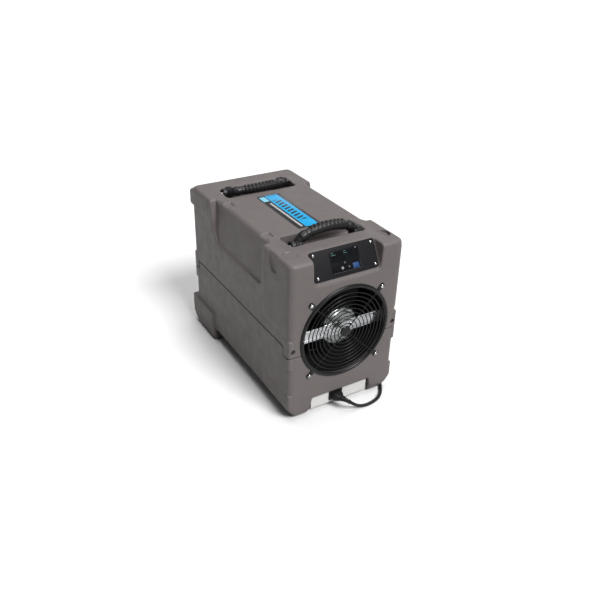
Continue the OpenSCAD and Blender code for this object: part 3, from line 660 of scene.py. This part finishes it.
def meet(a, b, r=0.0):
    """Intersection whose edges are rounded to radius r."""
    if np.ndim(r) == 0 and r <= 0:
        return np.maximum(a, b)
    u, v = np.maximum(a + r, 0), np.maximum(b + r, 0)
    return np.minimum(np.maximum(a, b), -r) + np.sqrt(u * u + v * v)


def cut(a, b, r=0.0):
    return meet(a, -b, r)


def fuse(a, b, r=0.0):
    return -meet(-a, -b, r)


def flat(points, u, v):
    """Signed distance to a polygon on a plane of two broadcast axes."""
    p = np.array(points, float)
    n = len(p)
    d = None
    inside = None
    for i in range(n):
        a, b = p[i], p[i - 1]
        e = b - a
        wu, wv = u - a[0], v - a[1]
        t = np.clip((wu * e[0] + wv * e[1]) / (e @ e + 1e-12), 0, 1)
        q = (wu - t * e[0]) ** 2 + (wv - t * e[1]) ** 2
        d = q if d is None else np.minimum(d, q)
        c = (v >= a[1]) != (v >= b[1])
        if abs(e[1]) > 1e-9:
            cross = c & (u < a[0] + e[0] * (v - a[1]) / e[1])
        else:
            cross = np.zeros_like(c)
        inside = cross if inside is None else inside ^ cross
    return np.where(inside, -np.sqrt(d), np.sqrt(d)).astype(np.float32)


def side_view(points, radius=0):
    return flat(rounded(points, radius), Y, Z)


def half_plan(x, y0, y1, r0, r1):
    """Plan of a block from the middle out to x; r0 and r1 round its front and rear outer corners."""
    return flat(rounded([(INSIDE, y0), (x, y0), (x, y1), (INSIDE, y1)], [0, r0, r1, 0]), X, Y)


def front_view(points, radius=0):
    return flat(rounded(points, radius), X, Z)


def plan_view(points, radius=0):
    return flat(rounded(points, radius), X, Y)


def slab(axis, lo, hi):
    return np.maximum(lo - axis, axis - hi).astype(np.float32)


def post(u, v, r):
    """Signed distance to a round bar along the third axis."""
    return (np.sqrt(u ** 2 + v ** 2) - r).astype(np.float32)


def falling(rate, run):
    """Signed distance above a plane through the block tops that falls at that rate along run."""
    return (Z - H + rate * run) / math.hypot(1, rate)


def panel_frame():
    """Distance out of the control panel's face, and distance up its slope."""
    c, s = math.cos(PANEL_TILT), math.sin(PANEL_TILT)
    return (PANEL_Y - Y) * c + (Z - PANEL_Z) * s, (Y - PANEL_Y) * s + (Z - PANEL_Z) * c


def case_solid():
    # long walls and the two end blocks
    walls = meet(half_plan(SIDE_X, -D2, REAR_Y, 17, 17), Z - DECK_Z + 0.15, 10)
    # block tops fall away toward the sides, the front and the rear
    side = falling(0.205, X - 100)
    top = meet(Z - H, side, 8)
    fore = falling(-0.13, Y + 235)
    block = meet(meet(half_plan(BLOCK_X, -D2, -148, 18, 5), meet(top, fore, 8), 12), 238 - Z, 2)
    solid = fuse(walls, block, 2 * ease((Y + 164) / 10))
    aft = falling(0.196, Y - 191)
    block = meet(meet(half_plan(BLOCK_X, 148, D2, 5, 13), meet(top, aft, 10), 10), 363 - Z, 6)
    solid = fuse(solid, block, 3)
    # sloped scoops along the sides
    outline = [(-147, H + BIG), (-134.5, 311), (103, 311), (118, 334), (147, H + BIG)]
    window = side_view(outline, [0, 7, 22, 26, 0])
    lean = 0.125
    face = (X - 130 + lean * (Z - DECK_Z)) / math.hypot(1, lean)
    soft = 4.5 + 6.5 * ease((Z - 380) / 20) * ease(-window / 15)
    solid = cut(solid, meet(window, -face, 3.5), soft)
    # grip scallops of the front block
    outline = [(-176, H + BIG), (-176, 399), (-189, 373), (-212, 373), (-212, H + BIG)]
    window = side_view(outline, [0, 6, 8, 9, 0])
    solid = cut(solid, meet(window, 145.2 - X, 2.5), 2)
    # handle pockets
    for s in (-1, 1):
        y0, y1 = (128, 191) if s > 0 else (-191, -128)
        solid = cut(solid, meet(half_plan(99, y0, y1, 12, 12), 385 - Z, 6), 3.5)
    # control panel recess with flared cheeks
    plate = side_view([(-D2 - BIG, 352), (-D2, 352), (-264.2, 357.6), (-229.2, 418.3), (-226, H + BIG),
                       (-D2 - BIG, H + BIG)], [0, 1.5, 3, 3, 0, 0])
    away, _ = panel_frame()
    cheeks = (X - 87.5 - 0.1 * np.clip(away, 0, 40)).astype(np.float32)
    solid = cut(solid, meet(plate, cheeks, 8), 3.5)
    solid = fuse(solid, case_ears(), 2.5 * ease((Y + 268) / 8))
    # stacking recesses and square marks on the deck
    solid = cut(solid, meet(post(X - 121, Y + 220, 18.5), -3.2 - side, 1), 1.2)
    for y in (-108, 90):
        mark = plan_view([(105, y - 12), (160, y - 12), (160, y + 12), (105, y + 12)], [3, 0, 0, 3])
        solid = cut(solid, meet(mark, DECK_Z - 3.2 - Z, 0.8), 0.9)
    return solid


def case_ears():
    """Bolt ears on the vertical edges."""
    r = 14
    front, rear = (post(X - (W2 - r), Y - y, r) for y in (-D2 + r, REAR_Y - r))
    return meet(np.minimum(front, rear), slab(Z, 149, 228), 3.5)


def case_underside(solid):
    """Belly profile and the four feet."""
    outline = [(INSIDE, 50), (81, 50), (85, 28), (138, 28), (SIDE_X, 39), (SIDE_X, H + 60), (INSIDE, H + 60)]
    solid = meet(solid, front_view(outline, [0, 4, 6, 8, 8, 0, 0]), 3)
    outline = [(82, 80), (SIDE_X, 80), (SIDE_X, 38), (125, 6), (113, 0), (95, 0), (87, 7)]
    a = front_view(outline, [0, 0, 16, 14, 8, 6, 6])
    outline = [(-D2, 80), (-D2, 22), (-262, 6), (-246, 0), (-158, 0), (-145, 60), (-150, 80)]
    b = side_view(outline, [0, 14, 10, 8, 9, 8, 0])
    solid = fuse(solid, meet(a, b, 7), 4 * ease((Y + 268) / 12) * ease((147 - X) / 10))
    a = front_view([(82, 88), (W2, 88), (W2, 12), (W2 - 10, 0), (95, 0), (87, 7)], [0, 5, 10, 10, 6, 6])
    b = side_view([(137, 88), (D2, 88), (D2, 30), (236, 0), (127, 0)], [5, 6, 14, 10, 8])
    return fuse(solid, meet(a, b, 6), 5)


def case_openings(shell):
    """Fan outlet, bolt holes, intake and the sockets behind the panel."""
    shell = cut(shell, np.maximum(post(X, Z - FAN_Z, 112), Y + 240), 1.5)
    intake = front_view([(INSIDE, 97), (118, 97), (118, 338), (INSIDE, 338)], [0, 3, 3, 0])
    shell = cut(shell, np.maximum(intake, 243 - Y), 1.2)
    bolt = post(X - BOLT_X, Z - BOLT_Z, 5.6)
    for near, far in ((-D2 - 2, -D2 + 8), (REAR_Y - 8, REAR_Y + 2)):
        shell = cut(shell, np.maximum(bolt, slab(Y, near, far)), 1.0)
    away, along = panel_frame()
    pit = np.maximum(np.maximum(X - 70, np.abs(along) - 22), slab(away, -12, 6)).astype(np.float32)
    return np.maximum(shell, -pit)


def seam_line(side):
    """Region above (1) or below (-1) the stepped parting line."""
    g = side * 1.05
    low, high = SEAM_LOW + g, SEAM_HIGH + g
    front, rear = -243 - g, REAR_Y - 27 + g
    end = H + BIG if side > 0 else -BIG
    outline = [(-D2 - BIG, low), (front, low), (front, high), (rear, high), (rear, low), (D2 + BIG, low),
               (D2 + BIG, end), (-D2 - BIG, end)]
    return side_view(outline, [0, 2, 2, 2, 2, 0, 0, 0])


def mesh_of_field(name, field, keep):
    """Mesh of a half field mirrored in X, thinned, with normals from the field itself."""
    full = np.concatenate([field[:0:-1], field], axis=0).astype(np.float32)
    band = 3 * STEP
    grid = openvdb.FloatGrid(band)
    grid.copyFromArray(np.clip(full, -band, band))
    points, tris, quads = grid.convertToPolygons(0.0, 0.0)
    me = bpy.data.meshes.new(name)
    faces = [tuple(int(i) for i in q) for q in quads] + [tuple(int(i) for i in t) for t in tris]
    origin = np.array([xs[0], ys[0], zs[0]])
    me.from_pydata([tuple(p) for p in (points * STEP + origin) * MM], [], faces)
    me.update()
    ob = link(bpy.data.objects.new(name, me))
    bm = bmesh.new()
    bm.from_mesh(me)
    if bm.calc_volume(signed=True) < 0:
        bmesh.ops.reverse_faces(bm, faces=bm.faces)
    bm.to_mesh(me)
    bm.free()
    mod = ob.modifiers.new("thin", "DECIMATE")
    mod.ratio = keep
    apply_modifiers(ob)
    me = ob.data
    gx, gy, gz = np.gradient(full)
    co = np.empty(len(me.vertices) * 3)
    me.vertices.foreach_get("co", co)
    at = (co.reshape(-1, 3) / MM - origin) / STEP
    base = np.clip(np.floor(at).astype(int), 0, np.array(full.shape) - 2)
    f = at - base
    normal = np.zeros_like(at)
    for corner in itertools.product((0, 1), repeat=3):
        weight = np.abs(1 - np.array(corner) - f).prod(axis=1, keepdims=True)
        i = tuple((base + corner).T)
        normal += weight * np.stack([gx[i], gy[i], gz[i]], 1)
    normal /= np.linalg.norm(normal, axis=1, keepdims=True) + 1e-9
    me.polygons.foreach_set("use_smooth", [True] * len(me.polygons))
    me.normals_split_custom_set_from_vertices([tuple(v) for v in normal])
    me.update()
    return ob


def build_case():
    solid = case_underside(case_solid())
    shell = cut(solid, solid + WALL, 0)
    shell = case_openings(shell)
    upper = meet(shell, seam_line(1), 1.6)
    lower = meet(shell, seam_line(-1), 1.6)
    return mesh_of_field("case_upper", upper, 0.4), mesh_of_field("case_lower", lower, 0.4)


case_upper, case_lower = build_case()
piece(case_upper, CASE, "case", "upper_housing")
piece(case_lower, CASE, "case", "lower_housing")

# ---- fan guard, screws, bracket, motor, wheel ----


def on_front(a, b, h):
    """Local right, up and outward from the front face, about the fan axis."""
    return (a, -D2 - h, FAN_Z + b)


def wire_ring(name, r, wire, out):
    return revolve(name, [(r + u, out + v) for u, v in circle(wire, 10)], 96, on_front, 60)


SCREW_CIRCLE = 133.1
LUG_THICK = 2.5
GUARD_RINGS = 9


def build_guard():
    parts = [revolve("rim", rounded([(111, 0), (120, 0), (120, 2.2), (117.5, 4), (112.5, 4), (111, 2.4)],
                                    [0, 0, 0.9, 1.2, 1.2, 0.9], 3), 128, on_front)]
    for i in range(1, GUARD_RINGS + 1):
        parts.append(wire_ring(f"ring_{i}", 10.8 + i * 99 / (GUARD_RINGS + 1), 1.15, 2.75))
    hub = [(0.01, 0.4), (13.4, 0.4), (13.4, 2.6), (12.4, 3.6), (9.5, 3.9), (0.01, 3.9)]
    parts.append(revolve("hub", hub, 48, on_front))
    tip = SCREW_CIRCLE + 7
    tab = rounded([(110, -6.5), (128, -5.5), (tip, -7.5), (tip, 7.5), (128, 5.5), (110, 6.5)],
                  [0, 6, 7.4, 7.4, 6, 0], 6)
    for k in range(4):
        turned = spun(on_front, math.radians(45 + 90 * k))
        path = [turned(10 + i * 10.6, 0, 1.35) for i in range(11)]
        parts.append(sweep(f"spoke_{k}", path, lambda i: circle(1.3, 10), angle=60))
        parts.append(prism(f"tab_{k}", tab, 0.0, LUG_THICK, turned, 0.7))
    return join("fan_guard_wire", parts)


def screw_head(name, r, h, to_world):
    """Pan head with a cross recess."""
    dome = [(0.01, -1.0), (r * 0.9, -1.0), (r, 0.0), (r, h * 0.3), (r * 0.93, h * 0.62), (r * 0.74, h * 0.88),
            (r * 0.45, h), (0.01, h)]
    head = revolve(name, dome, 28, to_world, 50)
    w, l = r * 0.26, r * 1.12
    arms = [rounded_rectangle(l, w, 0), rounded_rectangle(w, l, 0)]
    tool = join("cross", [prism("arm", arm, h * 0.42, h + 1.0, to_world) for arm in arms])
    mod = head.modifiers.new("cross", "BOOLEAN")
    mod.operation, mod.object, mod.solver = "DIFFERENCE", tool, "EXACT"
    mod.use_self = True
    apply_modifiers(head)
    bpy.data.objects.remove(tool)
    smooth_by_angle(head, 40)
    return head


def build_guard_screws():
    heads = []
    for k in range(4):
        a = math.radians(45 + 90 * k)
        seat = shifted(on_front, SCREW_CIRCLE * math.cos(a), SCREW_CIRCLE * math.sin(a), LUG_THICK)
        heads.append(screw_head(f"guard_screw_{k}", 4.7, 2.4, spun(seat, rng.uniform(0, 1.5))))
    return join("guard_screw_heads", heads)


def build_bracket():
    """Bright strip across the outlet, with returned ends and two raised ribs."""
    lo, hi = corners("motor_bracket")
    y0, z0, z1 = lo[1], lo[2], hi[2]
    outline = rounded_rectangle(2 * 109, z1 - z0, 2.0)
    plate = prism("strip", outline, 0, 3, lambda u, v, h: (u, y0 + 3 - h, FAN_Z + v), 0.5)
    parts = [plate]
    for x in (-110, 110):
        parts.append(bar("flange", (x - 1.5, y0, z0 + 1), (x + 1.5, y0 + 28, z1 - 1), 0.6))
    for z in (FAN_Z - 10.5, FAN_Z + 10.5):
        parts.append(bar("rib", (-98, y0 - 0.6, z - 1.4), (98, y0 + 0.8, z + 1.4), 0.5))
    return join("bracket_strip", parts)


def build_motor():
    y = corners("fan_motor")[0][1]

    def axis(a, b, h):
        return (a, y + h, FAN_Z + b)

    profile = rounded([(0.01, 0), (38, 0), (40, 3), (47, 4), (47, 26), (42, 28), (42, 47), (38, 49),
                       (14, 49.4), (14, 52.6), (0.01, 52.6)], [0, 2, 1, 2, 2, 1, 3, 2, 0, 1, 0], 3)
    parts = [revolve("can", profile, 72, axis)]
    vanes = 24
    for k in range(vanes):
        seat = shifted(spun(axis, 2 * math.pi * k / vanes), 45.4, 0)
        parts.append(prism(f"vane_{k}", rounded_rectangle(4.2, 1.6, 0.7, 2), 4.5, 25.5, seat))
    return join("motor_can", parts)


def build_wheel():
    """Moulded axial wheel with swept, twisted blades."""
    lo, hi = corners("fan_wheel")
    yc = (lo[1] + hi[1]) / 2

    def axis(a, b, h):
        return (a, yc + h, FAN_Z + b)

    hub = rounded([(5.05, -13), (30, -13), (32, -11), (32, 13.4), (30.2, 14), (27, 12), (27, -6), (12, -6),
                   (12, 4), (5.05, 4)], [0, 2, 2, 1, 1, 1, 1, 1, 1, 0], 2)
    parts = [revolve("hub", hub, 60, axis)]
    for k in range(6):
        verts, faces = [], []
        rows, cols = 15, 13
        for side in (1, -1):
            for i in range(rows):
                t = i / (rows - 1)
                r = 30.5 + t * 73
                lead = math.radians(15 + 60 * k) + 0.42 * t ** 1.6
                wide = 17 + 19 * math.sin(math.pi * min(1, 0.25 + 0.6 * t))
                wide *= 1 - 0.25 * max(0, t - 0.86) / 0.14
                pitch = math.radians(34 - 12 * t)
                for j in range(cols):
                    u = j / (cols - 1) - 0.5
                    across, deep = 2 * wide * u * math.cos(pitch), 2 * wide * u * math.sin(pitch)
                    camber = 3.0 * (1 - 4 * u * u) * (1 - 0.4 * t)
                    thick = 1.25 * (1 - 0.75 * abs(2 * u) ** 3)
                    h = max(-12.8, min(12.8, deep * 0.78 + camber - 1.4)) + side * thick
                    a = lead + across / r
                    verts.append(axis(r * math.cos(a), r * math.sin(a), h))
        n = rows * cols
        for i in range(rows - 1):
            for j in range(cols - 1):
                a = i * cols + j
                q = (a, a + 1, a + cols + 1, a + cols)
                faces += [q, tuple(n + v for v in reversed(q))]
        edge = ([(0, j) for j in range(cols)] + [(i, cols - 1) for i in range(1, rows)]
                + [(rows - 1, j) for j in range(cols - 2, -1, -1)] + [(i, 0) for i in range(rows - 2, 0, -1)])
        for e, (i, j) in enumerate(edge):
            i2, j2 = edge[(e + 1) % len(edge)]
            a, b = i * cols + j, i2 * cols + j2
            faces.append((b, a, n + a, n + b))
        parts.append(mesh_piece(f"blade_{k}", verts, faces, 50))
    return join("fan_wheel_moulding", parts)


piece(build_guard(), WIRE, "case", "fan_guard")
piece(build_guard_screws(), CHROME, "case", "guard_screws")
piece(build_bracket(), STRIP, "case", "motor_bracket")
piece(build_motor(), ALLOY, "case", "fan_motor")
piece(build_wheel(), BLACK, "fan", "fan_wheel")

# ---- control panel ----

def on_panel(u, v, h):
    """Local right, up the slope and outward from the control panel."""
    return (u, PANEL_Y + v * math.sin(PANEL_TILT) - h * math.cos(PANEL_TILT),
            PANEL_Z + v * math.cos(PANEL_TILT) + h * math.sin(PANEL_TILT))


KEYS = {"key_select": (-10.5, -16.0, 4.5), "key_up": (-2.0, -5.4, 3.2), "key_down": (7.0, -16.3, 3.2)}


def build_panel():
    plate = prism("control_plate", rounded_rectangle(168, 66, 5), 1.5, 4.5, on_panel, 0.7)
    centre = shifted(on_panel, 0.5, -0.5)
    overlay = prism("control_overlay", rounded_rectangle(76, 51, 2), 4.3, 5.3, centre, 0.25)
    piece(plate, PANEL, "case", "panel_plate")
    piece(overlay, PANEL_GLOSS, "case", "keypad_bezel")
    lens = prism("display_glass", rounded_rectangle(58, 23, 1.2), 5.0, 5.36, shifted(on_panel, -6, 10.5))
    piece(lens, LENS, "case", "display_lens")
    # The trim carries the grey keys' painted glow.
    trim = [prism("trim", rounded_rectangle(74, 0.7, 0.3, 2), 5.2, 5.42, shifted(on_panel, 0.5, -24.4)),
            prism("trim", rounded_rectangle(0.5, 20, 0.2, 2), 5.2, 5.42, shifted(on_panel, 37.2, -14))]
    piece(join("overlay_trim", trim), KEY_GREY_PAINTED_GLOW, "case")
    # The key caps, the enter key too, carry painted glow; they are no lamps.
    for name, (u, v, r) in KEYS.items():
        key = prism(name + "_cap", circle(r * 0.72, 32), 3.0, 6.1, shifted(on_panel, u, v), 0.5)
        body = name.replace("key_", "") + "_key"
        piece(key, KEY_WHITE_PAINTED_GLOW if name == "key_select" else KEY_GREY_PAINTED_GLOW, body, name)
    centre = shifted(on_panel, 24.5, -16.5)
    key = prism("key_enter_cap", rounded_rectangle(16, 12, 1.5), 3.0, 6.2, centre, 0.6)
    piece(key, KEY_BLUE_PAINTED_GLOW, "enter_key", "key_enter")
    led = prism("status_lamp", circle(1.6, 24), 3.5, 5.7, shifted(on_panel, 32.5, 22), 0.5)
    piece(led, LED, "case", "status_led")


def build_digits():
    """Dim plain dashes on the display: two short stacks near its upper edge."""
    rows = [(-29.5, 19.8, 7), (-26.5, 15.6, 12), (3, 19.8, 6), (4, 15.6, 9)]
    dashes = [prism("dash", rounded_rectangle(w, 0.8, 0.3, 2), 5.3, 5.42, shifted(on_panel, u, v))
              for u, v, w in rows]
    return join("display_segments_bars", dashes)


def build_panel_screws():
    heads = []
    for u in (-75.7, 75.7):
        for v in (-25, 25):
            seat = shifted(on_panel, u, v, 4.5)
            heads.append(screw_head("panel_screw", 3.4, 1.9, spun(seat, rng.uniform(0, 1.5))))
    return join("panel_screw_heads", heads)


def gloss_panel():
    m = plastic("overlay_gloss", (0.0035, 0.0035, 0.0045), (0.2, 0.3), 2600, 0.03, spread=0.05, specular=0.15)
    m.set(Coat_Weight=0.12, Coat_Roughness=0.08)
    return m.mat


PANEL_GLOSS = gloss_panel()
build_panel()
piece(build_digits(), DIGITS, "case")
piece(build_panel_screws(), CHROME, "case", "panel_screws")

# ---- top label: generic stripe graphic ----


def label_material():
    """Black sheet with a cyan stripe, dark slanted bars on it, and a pale ticked edge strip."""
    m = Nodes("label_ink")
    x, y, _ = m.axes()
    grain = m.noise(900, 3)

    def band(axis, start, end):
        a = m.maths("GREATER_THAN", axis, start * MM)
        b = m.maths("LESS_THAN", axis, end * MM)
        return m.maths("MULTIPLY", a, b)

    black = m.ramp(grain, [(0.3, (0.007, 0.007, 0.009)), (0.7, (0.013, 0.013, 0.015))])
    cyan = m.ramp(grain, [(0.3, (0.0, 0.20, 0.40)), (0.7, (0.0, 0.24, 0.455))])
    stripe = m.maths("MULTIPLY", band(x, -14, 21), band(y, -109, 96))
    colour = m.mix(stripe, black, cyan)
    lean = m.maths("ADD", y, m.maths("MULTIPLY", x, -0.35))
    wave = m.maths("FRACT", m.maths("MULTIPLY", lean, 1 / (15 * MM)))
    slot_bars = m.maths("LESS_THAN", wave, 0.52)
    bars = m.maths("MULTIPLY", slot_bars, m.maths("MULTIPLY", band(x, -8, 12), band(y, -70, 62)))
    colour = m.mix(bars, colour, (0.007, 0.014, 0.025, 1))
    pale = m.maths("MULTIPLY", band(x, -24.5, -19), band(y, -104, 50))
    tick = m.maths("LESS_THAN", m.maths("FRACT", m.maths("MULTIPLY", y, 1 / (4.2 * MM))), 0.6)
    colour = m.mix(m.maths("MULTIPLY", pale, tick), colour, (0.46, 0.465, 0.47, 1))
    patch = m.maths("MULTIPLY", band(x, -32, -17), band(y, 62, 92))
    colour = m.mix(patch, colour, (0.14, 0.37, 0.47, 1))
    m.set(Base_Color=colour, Roughness=m.span(m.noise(70, 3), 0.28, 0.4))
    m.set(Coat_Weight=0.3, Coat_Roughness=0.15)
    m.bump(grain, 0.05, 0.0002)
    return m.mat


def build_label():
    lo, hi = corners("top_label")
    cx, cy = (lo[0] + hi[0]) / 2, (lo[1] + hi[1]) / 2
    outline = rounded_rectangle(hi[0] - lo[0], hi[1] - lo[1], 3)
    return prism("label_sheet", outline, lo[2] - 0.1, lo[2] + 0.45, lambda u, v, h: (cx + u, cy + v, h), 0.2)


piece(build_label(), label_material(), "case", "top_label")

# ---- bail handles ----

pins_lo, pins_hi = corners("rear_handle_pins")
HINGE_Y, HINGE_Z = (pins_lo[1] + pins_hi[1]) / 2, (pins_lo[2] + pins_hi[2]) / 2
REAR_ANGLE = math.radians(20)
GRIP_R = 13.5
BAIL_REACH, BAIL_RISE = 78.0, 30.0


def front_bail(x, y, z):
    """The front handle stands upright on its hinge."""
    return (x, -HINGE_Y - z, HINGE_Z + y)


def rear_bail(x, y, z):
    """The rear handle lies in its pocket, its grip toward the middle of the case."""
    c, s = math.cos(REAR_ANGLE), math.sin(REAR_ANGLE)
    return (x, HINGE_Y - (y * c - z * s), HINGE_Z + y * s + z * c)


def build_bail(name, to_world, ribbed_side):
    """Arched grip: ribs round its outer and one side, smooth collars, rounded end knobs on the hinge."""
    sides, count, end = 40, 200, 80.0
    verts = []
    for i in range(count):
        a = -end + 2 * end * i / (count - 1)
        s, c = math.sin(math.radians(a)), math.cos(math.radians(a))
        size = math.hypot(BAIL_RISE * s, BAIL_REACH * c)
        nx, ny = BAIL_RISE * s / size, BAIL_REACH * c / size
        wave = 0.5 + 0.5 * math.cos(2 * math.pi * a / 7.6)
        rib = 1 / (1 + math.exp(-9 * (wave - 0.5)))
        ribbed = 1 / (1 + math.exp((abs(a) - 35) * 1.4))
        collar = math.exp(-(((abs(a) - 52) / 8.5) ** 6))
        for k in range(sides):
            t = 2 * math.pi * k / sides
            upper = 1 / (1 + math.exp(-6 * (ribbed_side * math.sin(t) * 0.9 + math.cos(t) * 0.75 - 0.1)))
            r = GRIP_R - 2.9 + 2.8 * rib * ribbed * upper + 1.5 * (1 - upper) * ribbed + 1.7 * collar
            q = r * math.cos(t)
            verts.append(to_world(BAIL_REACH * s + q * nx, BAIL_RISE * c + q * ny, r * math.sin(t)))
    parts = [mesh_piece(name + "_grip", verts, skin(count, sides), 60)]
    knob = rounded([(0.01, 0), (10.5, 0), (14.8, 4.6), (14.8, 12), (13.4, 12.6), (13.4, 14.2), (14.6, 14.8),
                    (14.6, 17.6), (12, 20), (12, 28.8), (4.1, 28.8), (4.1, 21.5), (0.01, 21.5)],
                   [0, 4, 3, 0.5, 0.4, 0.4, 0.5, 1.5, 1, 1, 0, 0, 0], 4)
    for s in (-1, 1):
        parts.append(revolve(name + "_knob", knob, 48, lambda a, b, h, s=s: to_world(s * (65 + h), a, b), 40))
    return join(name, parts)


piece(build_bail("front_handle_grip", front_bail, -1), GRIP, "front_bail", "front_handle")
piece(build_bail("rear_handle_grip", rear_bail, 1), GRIP, "rear_bail", "rear_handle")

# ---- rear filter and intake ----


def build_filter_frame():
    lo, hi = corners("filter_frame")
    x, z0, z1 = hi[0], lo[2], hi[2]
    y = REAR_Y
    cz = (z0 + z1) / 2
    parts = []

    def ring(name, lx, lz, wide, ya, yb, edge):
        outer = np.array(rounded_rectangle(lx, lz, 5, 5))
        inner = np.array(rounded_rectangle(lx - 2 * wide, lz - 2 * wide, 3, 5))
        k = 2 * edge / lx
        loops = [(outer, ya), (outer, yb - edge), (outer * (1 - k), yb), (inner * (1 + k), yb),
                 (inner, yb - edge), (inner, ya)]
        verts = [(p[0], d, cz + p[1]) for loop, d in loops for p in loop]
        return mesh_piece(name, verts, skin(len(loops), len(outer), True))

    parts.append(ring("flange", 2 * x, z1 - z0, 14, y + 0.5, y + 5.8, 1.2))
    parts.append(ring("sleeve", 2 * x - 12.4, z1 - z0 - 12.4, 8, y - 4.4, y + 2, 0.4))
    rows = 15
    for i in range(rows):
        zc = z0 + 20 + (z1 - z0 - 40) * i / (rows - 1)
        section = ((y + 1.4, zc + 2.6), (y + 2.6, zc + 3.4), (y + 5.2, zc - 2.6), (y + 4.0, zc - 3.4))
        blade = [(end, d, v) for end in (-0.885 * x, 0.885 * x) for d, v in section]
        parts.append(mesh_piece("louvre", blade, skin(2, 4)))
        bevel(parts[-1], 0.5, 2)
    for px in (-55, 0, 55):
        parts.append(bar("mullion", (px - 1.8, y + 1.6, z0 + 12), (px + 1.8, y + 4.4, z1 - 12), 0.6))
    parts.append(bar("pull_tab", (-24, y + 4.6, z1 - 13), (24, y + 10.8, z1 - 8.4), 1.4))
    return join("filter_grille", parts)


def build_media():
    """Pleated filter cloth behind the grille."""
    lo, hi = corners("filter_media")
    folds, cloth = 46, 0.9
    n = 2 * folds + 1
    verts = []
    for i in range(n):
        x = lo[0] + (hi[0] - lo[0]) * i / (n - 1)
        y = lo[1] + 0.2 + (hi[1] - lo[1] - 1.4) * (i % 2)
        verts += [(x, y, lo[2]), (x, y, hi[2]), (x, y + cloth, hi[2]), (x, y + cloth, lo[2])]
    return mesh_piece("filter_cloth", verts, skin(n, 4), 20)


piece(build_filter_frame(), BLACK, "filter", "filter_frame")
piece(build_media(), MEDIA, "filter", "filter_media")

# ---- CAD nodes that keep their shape ----

for mat, nodes in {
    FOAM: ("housing_gasket", "panel_gasket"),
    DARK_STEEL: ("housing_bolts", "fan_nut"),
    PAN: ("base_pan",),
    BLACK: ("fan_shroud", "intake_frame", "power_inlet", "pump_motor", "drain_tray"),
    SHAFT: ("motor_shaft", "front_handle_pins", "rear_handle_pins", "motor_screws"),
    BOARD: ("control_board",),
    FIN: ("evaporator_fins", "condenser_fins", "run_capacitor"),
    COPPER: ("evaporator_tubes", "condenser_tubes", "discharge_pipe", "suction_pipe", "liquid_line",
             "filter_drier"),
    ZINC: ("coil_rails",),
    RUBBER: ("compressor_feet",),
    BRASS: ("drain_fitting",),
}.items():
    for node in nodes:
        repaint(node, mat)
repaint("compressor", plastic("compressor_paint", (0.022, 0.022, 0.024), (0.25, 0.4), 500, 0.1).mat)
repaint("pump_reservoir", plastic("reservoir_plastic", (0.6, 0.6, 0.58), (0.35, 0.5), 800, 0.08).mat)
repaint("pump_float", plastic("float_orange", (0.75, 0.25, 0.04), (0.4, 0.5), 800, 0.08).mat)

# ---- stage ----


def build_stage():
    n, size, rise, bend = 24, 14.0, 5.0, 2.0
    verts = []
    rows = [(-size, 0.0), (8.0, 0.0)]
    for k in range(1, n + 1):
        t = math.pi / 2 * k / n
        rows.append((8.0 + bend * math.sin(t), bend * (1 - math.cos(t))))
    rows.append((8.0 + bend, rise))
    # the sweep rises on the side away from the camera
    az = CAM_AZIMUTH
    ahead = Vector((-math.sin(az), math.cos(az), 0))
    across = Vector((ahead.y, -ahead.x, 0))
    for d, z in rows:
        for s in (-size, size):
            p = ahead * d + across * s
            verts.append((p.x, p.y, z))
    faces = [(i, i + 1, i + 3, i + 2) for i in range(0, 2 * len(rows) - 2, 2)]
    me = bpy.data.meshes.new("studio_sweep")
    me.from_pydata(verts, [], faces)
    for p in me.polygons:
        p.use_smooth = True
    ob = link(bpy.data.objects.new("studio_sweep", me))
    m = Nodes("studio_paper")
    tone = m.ramp(m.noise(3, 2), [(0.3, (0.545, 0.545, 0.545)), (0.7, (0.56, 0.56, 0.56))])
    m.set(Base_Color=tone, Roughness=0.9)
    me.materials.append(m.mat)


def lamp(name, toward, power, spread):
    """A soft distant light shining from the given direction."""
    light = bpy.data.lights.new(name, "SUN")
    light.energy, light.angle = power, math.radians(spread)
    ob = link(bpy.data.objects.new(name, light))
    ob.location = Vector(toward).normalized() * 3
    ob.rotation_euler = (-Vector(toward)).to_track_quat("-Z", "Y").to_euler()


def build_light():
    world = bpy.data.worlds.new("studio")
    bpy.context.scene.world = world
    world.use_nodes = True
    back = world.node_tree.nodes["Background"]
    back.inputs["Color"].default_value = (1, 1, 1, 1)
    back.inputs["Strength"].default_value = 0.12
    lamp("key", (0.15, -0.75, 0.85), 5.1, 24)
    lamp("top", (0.05, 0.1, 1.0), 2.35, 40)
    lamp("rear_fill", (0.95, 0.5, 0.35), 1.0, 36)


build_stage()
build_light()
bpy.context.scene.view_settings.view_transform = "Standard"
